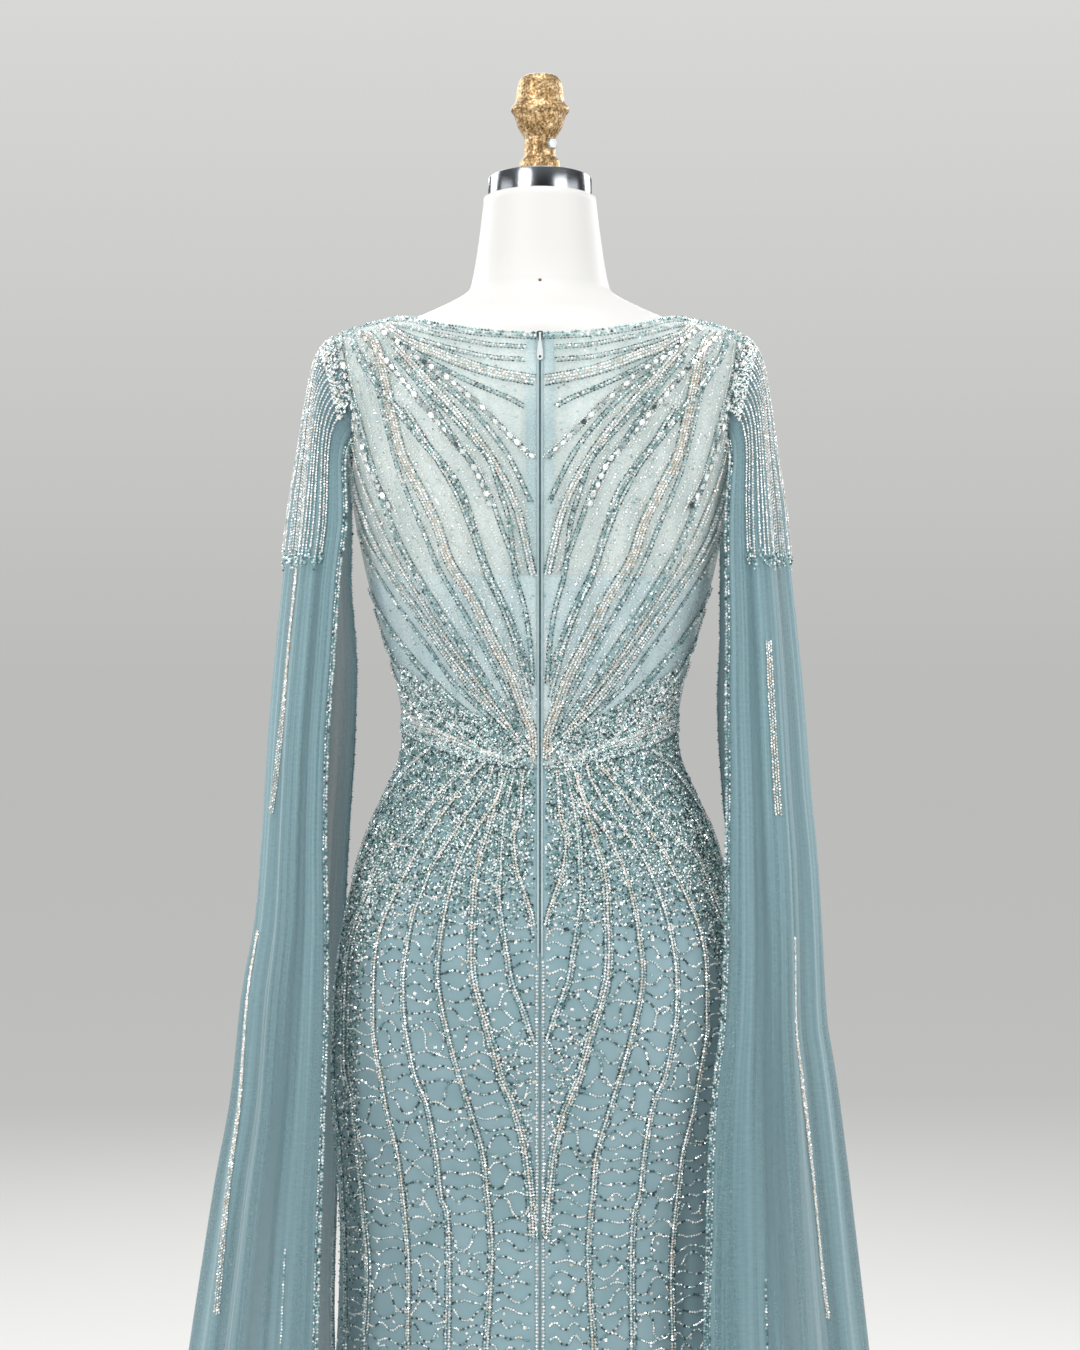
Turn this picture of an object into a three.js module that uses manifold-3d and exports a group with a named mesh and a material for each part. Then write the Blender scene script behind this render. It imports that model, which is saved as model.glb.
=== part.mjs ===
// Evening gown with open cape sleeves, on a limbless dress form with its stand.
//
// Millimetres, +Z up. The origin is on the floor, under the middle of the stand's pole. The gown's back
// faces +Y, its front -Y, and the wearer's left is +X. Angles round the figure start at the centre
// back: 90 degrees is the left side, 180 the centre front and 270 the right side.

import * as THREE from 'three';
import { mergeVertices } from 'three/addons/utils/BufferGeometryUtils.js';
import Module from 'manifold-3d';

const wasm = await Module();
wasm.setup();

// Clearances and cloth thicknesses
const GAP = 0.3;
const SEAM_HALF_GAP = 0.2;
const FORM_UNDER_CLOTH = -2.2;
const LINING = { inner: 0.4, outer: 1.4 };
const SHELL = { inner: 1.9, outer: 3.1 };
const SLEEVE_MIDDLE = 2.5;
const SLEEVE_HALF_WALL = 0.5;
const SLEEVE_SEAM_GAP = 1.6;

// Heights of the cut
const WAIST_SIDE = 1088;
const WAIST_DIP_BACK = 30;
const WAIST_DIP_FRONT = 22;
const LINING_TOP_BACK = 1220.6;
const LINING_RISE_FRONT = 80;
const NECK_CENTRE_BACK = 1423;
const NECK_CENTRE_FRONT = 1416;
const NECK_POINT_X = 118;
const NECK_CURVE_BACK = 2.2;
const NECK_CURVE_FRONT = 1.5;
const SKIRT_HEM = 14;
const SLEEVE_HEM = 35;

// Armhole: an oval on the figure's side, given by its middle, its half height and its half width
const ARMHOLE_MIDDLE = 1365;
const ARMHOLE_HALF_HEIGHT = 64;
const ARMHOLE_HALF_ANGLE = 21;
const ARMHOLE_TOP = ARMHOLE_MIDDLE + ARMHOLE_HALF_HEIGHT;
const SLEEVE_SEAM_START = -25;
const SLEEVE_SEAM_SWEEP = 230;

// Skirt flutes, which open below the knee
const FLUTES_START = 650;
const FLUTE_DEPTH = 15;
const FLUTE_WAVES = [{ count: 12, share: 0.7, phase: 0 }, { count: 7, share: 0.3, phase: 1 }];
const FLUTE_GROWTH = 1.35;

// Sleeve folds
const FOLD_DEPTH = 30;
const FOLD_GROWTH = 620;
const FOLD_COUNT = 4.5;
const FOLD_DRIFT = 0.32;
const FOLD_EDGE_POWER = 0.6;
const SECTION_HALF_SWEEP = 110;
const CAP_DROP = 11;

// Zip at the centre back
const TAPE_WIDTH = 11.6;
const SLIDER_Z = 1419;
const SLIDER = { width: 5.2, height: 8.4, thick: 1.5, waist: 3.4 };
const EAR = { thick: 0.9, depth: 2, height: 3, gap: 2.6, up: 1.4 };
const TAB = { length: 24, width: 5, thick: 0.9, neck: 1.7, hole: 1.2, holeUp: 0.4, lean: 4 };
const BARREL = { radius: 0.75, length: 2 };
const EAR_OVERLAP = 0.2;

// Fringe strands over each shoulder
const STRAND_COUNT = 22;
const STRAND_FIRST = 0.1;
const STRAND_LAST = 0.9;
const STRAND_OUT = 2.1;
const STRAND_RADIUS = 0.9;
const STRAND_END_Z = 1240;
const STRAND_END_UNEVEN = 5;
const STRAND_END_STEP = 2.4;
const STRIP = { top: 0.0046, bottom: 0.0088, inner: 1, outer: 2.9 };

// Dress form and stand
const FORM_BOTTOM = 690;
const CAP_RADIUS = 44.5;
const CAP_CENTRE_Y = -4;
const CAP_BOTTOM = 1546;
const CAP_HEIGHT = 18.5;
const CAP_TILT = 7.5;
const TILT_START = 1494;
const POLE_RADIUS = 12.5;
const BASE_RADIUS = 170;
const HUB_HEIGHT = 30;
const BASE_PROFILE = [
  [0, 0], [BASE_RADIUS, 0], [BASE_RADIUS, 4.5], [BASE_RADIUS - 4, 6.5], [90, 9.5], [40, 13], [26, 18],
  [22, HUB_HEIGHT], [0, HUB_HEIGHT],
];
const CAP_PROFILE = [
  [0, 0], [CAP_RADIUS - 0.6, 0], [CAP_RADIUS, 0.6], [CAP_RADIUS, CAP_HEIGHT - 1], [CAP_RADIUS - 1, CAP_HEIGHT],
  [0, CAP_HEIGHT],
];
const FINIAL_FOOT = CAP_BOTTOM + CAP_HEIGHT;
const FINIAL_PROFILE = [
  [0, FINIAL_FOOT], [17.5, FINIAL_FOOT], [17.5, 1577], [16.3, 1580.7], [13.6, 1582], [13.3, 1598],
  [14.6, 1601], [19, 1608], [22.4, 1619], [25, 1621.5], [25.4, 1624.5], [22.6, 1627.5], [21, 1629.5],
  [20.4, 1638], [18.4, 1647], [14.6, 1652.2], [9, 1654], [0, 1654.4],
];
const SCREW = { z: 1592.7, radius: 5.2, length: 4.6, stem: 13.3, azimuth: 38 };

// Colours
const COLOURS = {
  sheer: '#b9d3d4',
  lining: '#a3bfc7',
  tape: '#8fb5c2',
  skirt: '#9ab8bb',
  sleeve: '#84a5aa',
  beads: '#dfe9ea',
  form: '#f2f1ef',
  steel: '#b9bcc0',
  gilt: '#b58a4c',
  paint: '#e6e5e2',
};

// A table of sections, with a monotone cubic curve through each column: at(key) gives the row there.
function table(columns, rows) {
  const keys = rows.map((row) => row[0]);
  const curves = columns.slice(1).map((name, k) => {
    const values = rows.map((row) => row[k + 1]);
    const slopes = keys.slice(1).map((key, i) => (values[i + 1] - values[i]) / (key - keys[i]));
    const tangents = values.map((_, i) => {
      if (i === 0) return slopes[0];
      if (i === slopes.length) return slopes[i - 1];
      const [before, after] = [slopes[i - 1], slopes[i]];
      return before * after <= 0 ? 0 : (2 * before * after) / (before + after);
    });
    return { name, values, tangents };
  });
  const at = (key) => {
    const place = THREE.MathUtils.clamp(key, keys[0], keys[keys.length - 1]);
    let i = 0;
    while (i < keys.length - 2 && place > keys[i + 1]) i += 1;
    const step = keys[i + 1] - keys[i];
    const t = (place - keys[i]) / step;
    const row = {};
    for (const { name, values, tangents } of curves) {
      row[name] =
        values[i] * (1 + 2 * t) * (1 - t) ** 2 +
        tangents[i] * step * t * (1 - t) ** 2 +
        values[i + 1] * t * t * (3 - 2 * t) +
        tangents[i + 1] * step * t * t * (t - 1);
    }
    return row;
  };
  return { at };
}

// The figure, and below the hip the skirt's mean shape. `half` is half the width, `back` and `front`
// the depths behind and before the pole, and `square` the section's power, where 2 is an ellipse.
const FIGURE = table(['z', 'half', 'back', 'front', 'square'], [
  [14, 268.5, 232.5, 205.5, 2.0],
  [120, 245, 212, 188, 2.0],
  [260, 214, 180, 160, 2.0],
  [400, 188, 146, 130, 2.05],
  [520, 174, 124, 112, 2.1],
  [600, 170, 116, 104, 2.15],
  [650, 169.5, 114, 101, 2.2],
  [700, 171.5, 115, 100, 2.2],
  [793, 177, 125, 102, 2.2],
  [844, 176, 130, 104, 2.2],
  [880, 173.5, 129, 105, 2.2],
  [919, 167.5, 123, 104.5, 2.2],
  [955, 160, 115, 102, 2.15],
  [983, 152, 107, 99, 2.1],
  [1015, 141, 97, 95, 2.05],
  [1040, 130, 88, 91, 2.0],
  [1062, 120, 81, 88, 2.0],
  [1080, 116.5, 78, 86.5, 2.0],
  [1097, 116, 77, 86.5, 2.05],
  [1124, 120, 79, 89, 2.1],
  [1150, 126, 83, 94, 2.15],
  [1174, 132, 87, 99, 2.2],
  [1210, 143, 93.5, 106, 2.3],
  [1240, 150, 98, 110, 2.4],
  [1290, 159, 105, 108, 2.45],
  [1340, 163.5, 105, 98, 2.45],
  [1380, 168, 100, 88, 2.4],
  [1410, 171.5, 91, 76, 2.3],
  [1424, 172.5, 86, 70, 2.2],
  [1429, 168, 84, 68, 2.05],
  [1433, 155, 82, 66, 1.9],
  [1438, 137, 79, 63, 1.8],
  [1443, 118, 76, 60.5, 1.7],
  [1448, 104, 73, 58, 1.7],
  [1455, 86, 69, 55, 1.8],
  [1462, 70, 65, 52, 1.9],
  [1468, 61, 61, 50, 2.0],
  [1480, 57.5, 56, 49, 2.0],
  [1494, 55, 52, 49, 2.0],
  [1530, 50, 46, 49, 2.0],
  [1566, 46, 41, 50, 2.0],
]);

// The ridge of the shoulder: its height at each distance from the middle
const RIDGE = table(['x', 'z'], [
  [86, 1455],
  [104, 1448],
  [118, 1443],
  [137, 1438],
  [155, 1433],
  [168, 1429],
  [172.5, 1424],
]);

// Cup shape of the bust, as two soft mounds on the front
const BUST = { x: 88, z: 1252, spread: 52, depth: 24 };

// Sleeves: the outermost reach to the side, and where the back and the front edge hang, at each height
const SLEEVE_COLUMNS = ['z', 'outer', 'backX', 'backY', 'frontX', 'frontY'];
const SLEEVES = {
  left: table(SLEEVE_COLUMNS, [
    [35, 370, 155, 232, 158, -215],
    [200, 350, 166, 200, 168, -185],
    [400, 322, 178, 160, 180, -150],
    [565, 299, 182.5, 132, 184, -126],
    [644, 287, 181.5, 122, 182, -118],
    [704, 277.8, 180, 116, 180, -112],
    [776, 265, 178, 108, 178, -104],
    [866, 256, 176, 98, 174, -96],
    [930, 245, 176.5, 92, 172, -88],
    [1003, 239, 178.5, 84, 168, -78],
    [1075, 234, 177.5, 80, 163, -72],
    [1146, 228, 173, 76, 161, -68],
    [1225, 219.5, 168, 70, 166, -62],
    [1270, 215, 163, 62, 165, -56],
    [1336, 205, 167, 46, 167, -44],
    [1400, 195.5, 168, 44, 168, -42],
    [1429, 193, 168, 42, 168, -40],
  ]),
  right: table(SLEEVE_COLUMNS, [
    [35, 355, 138, 236, 158, -215],
    [200, 332, 136, 205, 168, -185],
    [400, 300, 134, 165, 176, -150],
    [599, 276.5, 134, 134, 180, -124],
    [665, 269, 136, 128, 178, -116],
    [731, 261.5, 138, 122, 176, -110],
    [799, 253, 143, 114, 174, -102],
    [844, 246, 149, 108, 172, -98],
    [916, 242.7, 153, 98, 170, -92],
    [978, 239, 154, 90, 166, -84],
    [1041, 232.5, 155.5, 82, 160, -76],
    [1114, 226.5, 155, 76, 156, -70],
    [1170, 221, 156, 72, 158, -66],
    [1249, 212, 156, 62, 158, -58],
    [1281, 208.5, 157, 58, 160, -54],
    [1336, 200.5, 163, 46, 165, -44],
    [1400, 192.5, 166, 44, 166, -42],
    [1429, 190, 166, 42, 166, -40],
  ]),
};

const radians = THREE.MathUtils.degToRad;
const degrees = THREE.MathUtils.radToDeg;
const mix = THREE.MathUtils.lerp;

// A cosine or sine raised to the section's power, with its sign kept
const rounded = (value, square) => Math.sign(value) * Math.abs(value) ** (2 / square);

// The figure's surface at an angle from the centre back and a height
function figurePoint(angle, z) {
  const { half, back, front, square } = FIGURE.at(z);
  const along = Math.cos(radians(angle));
  const x = half * rounded(Math.sin(radians(angle)), square);
  let y = (along > 0 ? back : front) * rounded(along, square);
  if (along < 0) {
    const mound = Math.exp(-(((Math.abs(x) - BUST.x) / BUST.spread) ** 2 + ((z - BUST.z) / BUST.spread) ** 2));
    y -= BUST.depth * mound * along * along;
  }
  return new THREE.Vector3(x, y, z);
}

// Outward direction of a surface given by two numbers, from small steps along each
function outward(surface, p, q, stepP, stepQ) {
  const alongP = surface(p + stepP, q).sub(surface(p - stepP, q));
  const alongQ = surface(p, q + stepQ).sub(surface(p, q - stepQ));
  return alongP.cross(alongQ).normalize();
}

const ANGLE_STEP = 1.5;
const HEIGHT_STEP = 0.8;

function onFigure(angle, z, out) {
  const normal = outward(figurePoint, angle, z, ANGLE_STEP, HEIGHT_STEP).negate();
  return figurePoint(angle, z).addScaledVector(normal, out);
}

// The angle at which the back or the front reaches the side seam, less half the seam's gap
function sideAngle(z, isFront) {
  const { back, front, square } = FIGURE.at(z);
  const depth = isFront ? front : back;
  return degrees(Math.acos((SEAM_HALF_GAP / depth) ** (square / 2)));
}

// The angle of a point on the back or the front that lies `x` from the middle
function angleAt(x, z, isFront) {
  const { half, square } = FIGURE.at(z);
  const share = THREE.MathUtils.clamp((Math.abs(x) / half) ** (square / 2), 0, 1);
  return Math.min(degrees(Math.asin(share)), sideAngle(z, isFront));
}

// Armhole edge at a height, as an angle from the centre back or the centre front
function armholeAngle(z, shrink) {
  const half = ARMHOLE_HALF_HEIGHT - shrink;
  const rise = THREE.MathUtils.clamp((z - ARMHOLE_MIDDLE) / half, -1, 1);
  const width = ARMHOLE_HALF_ANGLE - degrees(shrink / FIGURE.at(ARMHOLE_MIDDLE).half);
  return 90 - width * Math.sqrt(1 - rise * rise);
}

function waistHeight(angle) {
  const along = Math.cos(radians(angle));
  return WAIST_SIDE - (along > 0 ? WAIST_DIP_BACK : WAIST_DIP_FRONT) * along * along;
}

// A closed cloth wall on a grid: at(i, j, out) is the point of column i and row j, moved out.
function wall(columns, rows, at, { inner, outer }) {
  const positions = [];
  for (const out of [inner, outer]) {
    for (let j = 0; j <= rows; j += 1) {
      for (let i = 0; i <= columns; i += 1) positions.push(...at(i, j, out).toArray());
    }
  }
  const layer = (columns + 1) * (rows + 1);
  const inside = (i, j) => j * (columns + 1) + i;
  const outside = (i, j) => layer + inside(i, j);
  const index = [];
  const quad = (a, b, c, d) => index.push(a, b, c, a, c, d);
  for (let j = 0; j < rows; j += 1) {
    for (let i = 0; i < columns; i += 1) {
      quad(outside(i, j), outside(i + 1, j), outside(i + 1, j + 1), outside(i, j + 1));
      quad(inside(i, j), inside(i, j + 1), inside(i + 1, j + 1), inside(i + 1, j));
    }
    quad(inside(0, j), outside(0, j), outside(0, j + 1), inside(0, j + 1));
    quad(outside(columns, j), inside(columns, j), inside(columns, j + 1), outside(columns, j + 1));
  }
  for (let i = 0; i < columns; i += 1) {
    quad(inside(i, 0), inside(i + 1, 0), outside(i + 1, 0), outside(i, 0));
    quad(outside(i, rows), outside(i + 1, rows), inside(i + 1, rows), inside(i, rows));
  }
  return facingOut(positions, index);
}

// A closed stack of rings, capped at both ends: at(i, j) is the point i of ring j.
function ringStack(around, rings, at) {
  const positions = [];
  for (let j = 0; j <= rings; j += 1) {
    for (let i = 0; i < around; i += 1) positions.push(...at(i, j).toArray());
  }
  const point = (i, j) => j * around + (i % around);
  const index = [];
  for (let j = 0; j < rings; j += 1) {
    for (let i = 0; i < around; i += 1) {
      index.push(point(i, j), point(i + 1, j), point(i + 1, j + 1));
      index.push(point(i, j), point(i + 1, j + 1), point(i, j + 1));
    }
  }
  for (let i = 1; i < around - 1; i += 1) {
    index.push(point(0, 0), point(i + 1, 0), point(i, 0));
    index.push(point(0, rings), point(i, rings), point(i + 1, rings));
  }
  return facingOut(positions, index);
}

// A geometry whose faces are turned over if its volume comes out negative
function facingOut(positions, index) {
  const corner = (k) => new THREE.Vector3().fromArray(positions, 3 * index[k]);
  let volume = 0;
  for (let k = 0; k < index.length; k += 3) {
    volume += corner(k).dot(corner(k + 1).cross(corner(k + 2)));
  }
  const geometry = new THREE.BufferGeometry();
  geometry.setAttribute('position', new THREE.Float32BufferAttribute(positions, 3));
  geometry.setIndex(volume < 0 ? index.slice().reverse() : index);
  return geometry;
}

// Joins closed geometries into one solid
function joined(geometries) {
  const solids = geometries.map((geometry) => {
    const bare = geometry.clone();
    bare.deleteAttribute('normal');
    bare.deleteAttribute('uv');
    const merged = mergeVertices(bare, 1e-4);
    return new wasm.Manifold(new wasm.Mesh({
      numProp: 3,
      vertProperties: new Float32Array(merged.attributes.position.array),
      triVerts: new Uint32Array(merged.index.array),
    }));
  });
  const mesh = solids.reduce((sum, solid) => sum.add(solid)).getMesh();
  const geometry = new THREE.BufferGeometry();
  geometry.setAttribute('position', new THREE.BufferAttribute(mesh.vertProperties, 3));
  geometry.setIndex(new THREE.BufferAttribute(mesh.triVerts, 1));
  return geometry;
}

function piece(name, geometry, colour, roughness = 0.7, metalness = 0) {
  geometry.computeVertexNormals();
  const mesh = new THREE.Mesh(geometry, new THREE.MeshStandardMaterial({ color: colour, roughness, metalness }));
  mesh.name = name;
  return mesh;
}

const SIDES = { left: 1, right: -1 };

// Bodice and lining

// Rows of the bodice, by their height at the side: up to the lining's top, to the armhole, and round it
const LINING_ROWS = 4;
const UNDERARM_ROWS = 2;
const ARMHOLE_ROWS = [1301, 1316, 1338, 1356, 1374, 1391, 1406, 1418, 1426, ARMHOLE_TOP];
const SIDE_HEIGHTS = [];
for (let j = 0; j < LINING_ROWS; j += 1) SIDE_HEIGHTS.push(mix(WAIST_SIDE, LINING_TOP_BACK, j / LINING_ROWS));
for (let j = 0; j < UNDERARM_ROWS; j += 1) {
  SIDE_HEIGHTS.push(mix(LINING_TOP_BACK, ARMHOLE_ROWS[0], j / UNDERARM_ROWS));
}
SIDE_HEIGHTS.push(...ARMHOLE_ROWS);
const BODICE_ROWS = SIDE_HEIGHTS.length - 1;

function edgeAngle(z, isFront) {
  const inArmhole = z > ARMHOLE_ROWS[0];
  return inArmhole ? Math.min(armholeAngle(z, 0), sideAngle(z, isFront)) : sideAngle(z, isFront);
}

// Height of the neckline and, past the neck point, of the shoulder seam
function topHeight(x, isFront) {
  const centre = isFront ? NECK_CENTRE_FRONT : NECK_CENTRE_BACK;
  const neckPoint = RIDGE.at(NECK_POINT_X).z;
  if (Math.abs(x) >= NECK_POINT_X) return RIDGE.at(Math.abs(x)).z;
  const curve = isFront ? NECK_CURVE_FRONT : NECK_CURVE_BACK;
  return mix(centre, neckPoint, (Math.abs(x) / NECK_POINT_X) ** curve);
}

// A point of the bodice: `across` runs from -1 to 1, from side to side, and `row` up the panel.
function bodicePoint(across, row, isFront, out) {
  const side = SIDE_HEIGHTS[row];
  const reach = figurePoint(edgeAngle(side, isFront), side).x;
  const x = Math.max(Math.abs(across) * reach, isFront ? 0 : SEAM_HALF_GAP);
  const tip = figurePoint(edgeAngle(ARMHOLE_TOP, isFront), ARMHOLE_TOP).x;
  const top = topHeight(Math.abs(across) * tip, isFront);
  const seamAngle = degrees(Math.asin(Math.min(Math.abs(across), 1)));
  const waist = waistHeight(isFront ? 180 - seamAngle : seamAngle) + GAP / 2;
  const liningTop = LINING_TOP_BACK + (isFront ? LINING_RISE_FRONT * (1 - Math.abs(across) ** 3) : 0);
  const z = row <= LINING_ROWS
    ? mix(waist, liningTop, row / LINING_ROWS)
    : mix(liningTop, top, (side - LINING_TOP_BACK) / (ARMHOLE_TOP - LINING_TOP_BACK));
  const atEdge = Math.abs(across) === 1 && row > LINING_ROWS;
  const angle = atEdge ? edgeAngle(z, isFront) : angleAt(x, z, isFront);
  const round = isFront ? 180 - angle : angle;
  return onFigure(across < 0 ? -round : round, z, out);
}

const BACK_COLUMNS = 10;
const FRONT_COLUMNS = 16;
const backAcross = (side, i) => side * Math.max(Math.sin((Math.PI / 2) * (i / BACK_COLUMNS)), 1e-6);
const frontAcross = (i) => Math.sin((Math.PI / 2) * ((2 * i) / FRONT_COLUMNS - 1));

function backPanel(side, rows, layer) {
  return wall(BACK_COLUMNS, rows, (i, j, out) => bodicePoint(backAcross(side, i), j, false, out), layer);
}

function frontPanel(rows, layer) {
  return wall(FRONT_COLUMNS, rows, (i, j, out) => bodicePoint(frontAcross(i), j, true, out), layer);
}

// Plain tape beside the zip's chain, from the lining's top edge to the neckline
function zipTape(side) {
  const rows = BODICE_ROWS - LINING_ROWS;
  const at = (i, j, out) => {
    const share = (SIDE_HEIGHTS[LINING_ROWS + j] - LINING_TOP_BACK) / (ARMHOLE_TOP - LINING_TOP_BACK);
    const z = mix(LINING_TOP_BACK + GAP, NECK_CENTRE_BACK - 1, share);
    const x = mix(SEAM_HALF_GAP, TAPE_WIDTH, i);
    return onFigure(side * angleAt(x, z, false), z, out);
  };
  return wall(1, rows, at, LINING);
}

// Skirt

const SKIRT_ROWS = 13;
const SKIRT_BACK_COLUMNS = 17;
const SKIRT_FRONT_COLUMNS = 32;
const SKIRT_SPACING = 1.1;

function fluteDepth(angle, z) {
  const below = Math.max(0, (FLUTES_START - z) / FLUTES_START);
  const waves = FLUTE_WAVES.map(({ count, share, phase }) => share * Math.cos(radians(count * angle) + phase));
  return FLUTE_DEPTH * below ** FLUTE_GROWTH * waves.reduce((sum, wave) => sum + wave);
}

function skirtPoint(angle, z) {
  const flat = figurePoint(angle, z);
  const level = outward(figurePoint, angle, z, ANGLE_STEP, HEIGHT_STEP).negate().setZ(0).normalize();
  return flat.addScaledVector(level, fluteDepth(angle, z));
}

function onSkirt(angle, z, out) {
  const normal = outward(skirtPoint, angle, z, ANGLE_STEP, HEIGHT_STEP).negate();
  normal.setZ(z < SKIRT_HEM + 1 ? 0 : normal.z).normalize();
  return skirtPoint(angle, z).addScaledVector(normal, out);
}

// A skirt panel between two angles, each given as a function of the height
function skirtPanel(columns, startAngle, endAngle) {
  const at = (i, j, out) => {
    const share = (j / SKIRT_ROWS) ** SKIRT_SPACING;
    const guess = mix(startAngle(WAIST_SIDE), endAngle(WAIST_SIDE), i / columns);
    const z = mix(waistHeight(guess) - GAP / 2, SKIRT_HEM, share);
    return onSkirt(mix(startAngle(z), endAngle(z), i / columns), z, out);
  };
  return wall(columns, SKIRT_ROWS, at, SHELL);
}

const centreAngle = (z) => angleAt(SEAM_HALF_GAP, z, false);

// Sleeves

// Share of the drop from the armhole to the hem, at each row
const SLEEVE_DROPS = [0, 0.004, 0.012, 0.03, 0.06, 0.1, 0.18, 0.28, 0.4, 0.54, 0.69, 0.85, 1];

// The seam's points lie on the rows of the bodice's armhole, with one more between each two
const SEAM_HEIGHTS = ARMHOLE_ROWS.slice(2);
const SEAM_SPANS = 2 * (SEAM_HEIGHTS.length - 1);
const SLEEVE_COLUMNS_COUNT = 2 * SEAM_SPANS;

// Angle round the armhole's oval, from its rear, at column i of the sleeve
function seamTurn(i) {
  const fromEdge = Math.min(i, SLEEVE_COLUMNS_COUNT - i) / 2;
  const low = Math.floor(fromEdge);
  const turnAt = (k) => degrees(Math.asin((SEAM_HEIGHTS[k] - ARMHOLE_MIDDLE) / ARMHOLE_HALF_HEIGHT));
  const high = Math.min(low + 1, SEAM_HEIGHTS.length - 1);
  const turn = mix(turnAt(low), turnAt(high), fromEdge - low);
  return i <= SLEEVE_COLUMNS_COUNT / 2 ? turn : 180 - turn;
}

// The armhole's edge, drawn in by the seam gap, between the bodice's rows
function seamPoint(i) {
  const fromEdge = Math.min(i, SLEEVE_COLUMNS_COUNT - i) / 2;
  const low = Math.floor(fromEdge);
  const high = Math.min(low + 1, SEAM_HEIGHTS.length - 1);
  const isFront = i > SLEEVE_COLUMNS_COUNT / 2;
  const rowPoint = (k) => {
    const z = mix(ARMHOLE_MIDDLE, SEAM_HEIGHTS[k], 1 - SLEEVE_SEAM_GAP / ARMHOLE_HALF_HEIGHT);
    const angle = armholeAngle(z, SLEEVE_SEAM_GAP);
    return onFigure(isFront ? 180 - angle : angle, z, SLEEVE_MIDDLE);
  };
  return rowPoint(low).lerp(rowPoint(high), fromEdge - low);
}

const sleeveShare = (i) => (seamTurn(i) - SLEEVE_SEAM_START) / SLEEVE_SEAM_SWEEP;

// Middle surface of the sleeve. Its section is an open arch: the sideways reach falls from `outer` in
// the middle to the hanging edges, as a cosine, and the depth follows a sine. Just under the armhole it
// runs from the seam into that arch, and folds grow down its length, between crests that keep the reach.
function sleevePoint(sections, i, drop) {
  const seam = seamPoint(i);
  const z = mix(seam.z, SLEEVE_HEM, drop);
  const fallen = seam.z - z;
  const share = sleeveShare(i);
  const swing = radians(SECTION_HALF_SWEEP * (1 - 2 * share));
  const full = radians(SECTION_HALF_SWEEP);
  const row = sections.at(z);
  const [edgeX, edgeY] = swing >= 0 ? [row.backX, row.backY] : [row.frontX, -row.frontY];
  const wave = Math.cos(2 * Math.PI * (FOLD_COUNT * (share - 0.5) + FOLD_DRIFT * Math.sin(2 * Math.PI * share)));
  const depth = FOLD_DEPTH * (1 - Math.exp(-fallen / FOLD_GROWTH)) * Math.sin(Math.PI * share) ** FOLD_EDGE_POWER;
  const fold = -depth * (1 - wave) / 2;
  const arch = new THREE.Vector3(
    row.outer - (row.outer - edgeX) * (1 - Math.cos(swing)) / (1 - Math.cos(full)) + fold * Math.cos(swing),
    edgeY * Math.sin(swing) / Math.sin(full) + fold * Math.sin(swing),
    z,
  );
  const blend = 1 - Math.exp(-fallen / CAP_DROP);
  return new THREE.Vector3(mix(seam.x, arch.x, blend), mix(seam.y, arch.y, blend), z);
}

// Grid of the sleeve's middle surface and its outward directions, for one side
function sleeveGrid(side, sections) {
  const mirror = (point) => point.multiply(new THREE.Vector3(side, 1, 1));
  const points = SLEEVE_DROPS.map((drop) => {
    const row = [];
    for (let i = 0; i <= SLEEVE_COLUMNS_COUNT; i += 1) row.push(mirror(sleevePoint(sections, i, drop)));
    return row;
  });
  const last = SLEEVE_DROPS.length - 1;
  const normals = points.map((row, j) => row.map((_, i) => {
    const along = points[j][Math.min(i + 1, SLEEVE_COLUMNS_COUNT)].clone().sub(points[j][Math.max(i - 1, 0)]);
    const down = points[Math.min(j + 1, last)][i].clone().sub(points[Math.max(j - 1, 0)][i]);
    return along.cross(down).normalize().multiplyScalar(side);
  }));
  const at = (i, j, out) => points[j][i].clone().addScaledVector(normals[j][i], out);
  // A point between the grid's own points, so that what lies on the sleeve follows its facets
  const between = (column, drop, out) => {
    const i = Math.min(Math.floor(column), SLEEVE_COLUMNS_COUNT - 1);
    let j = 0;
    while (j < last - 1 && drop > SLEEVE_DROPS[j + 1]) j += 1;
    const s = (drop - SLEEVE_DROPS[j]) / (SLEEVE_DROPS[j + 1] - SLEEVE_DROPS[j]);
    const upper = at(i, j, out).lerp(at(i + 1, j, out), column - i);
    const lower = at(i, j + 1, out).lerp(at(i + 1, j + 1, out), column - i);
    return upper.lerp(lower, s);
  };
  return { at, between };
}

// Fringe: a narrow strip along the sleeve's head, with three-sided strands hanging from it

function strand(grid, column, endZ) {
  const top = grid.between(column, 0, 0).z;
  const endDrop = (top - endZ) / (top - SLEEVE_HEM);
  const start = (STRIP.top + STRIP.bottom) / 2;
  const rows = SLEEVE_DROPS.filter((drop) => drop > start && drop < endDrop - 0.01);
  const drops = [start, ...rows, endDrop];
  const at = (corner, j) => {
    const turn = (2 * Math.PI * corner) / 3;
    const middle = grid.between(column, drops[j], STRAND_OUT);
    const outwards = grid.between(column, drops[j], STRAND_OUT + 1).sub(middle);
    const along = grid.between(column + 0.01, drops[j], STRAND_OUT).sub(middle).normalize();
    return middle
      .addScaledVector(outwards, STRAND_RADIUS * Math.cos(turn))
      .addScaledVector(along, STRAND_RADIUS * Math.sin(turn));
  };
  return ringStack(3, drops.length - 1, at);
}

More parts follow.
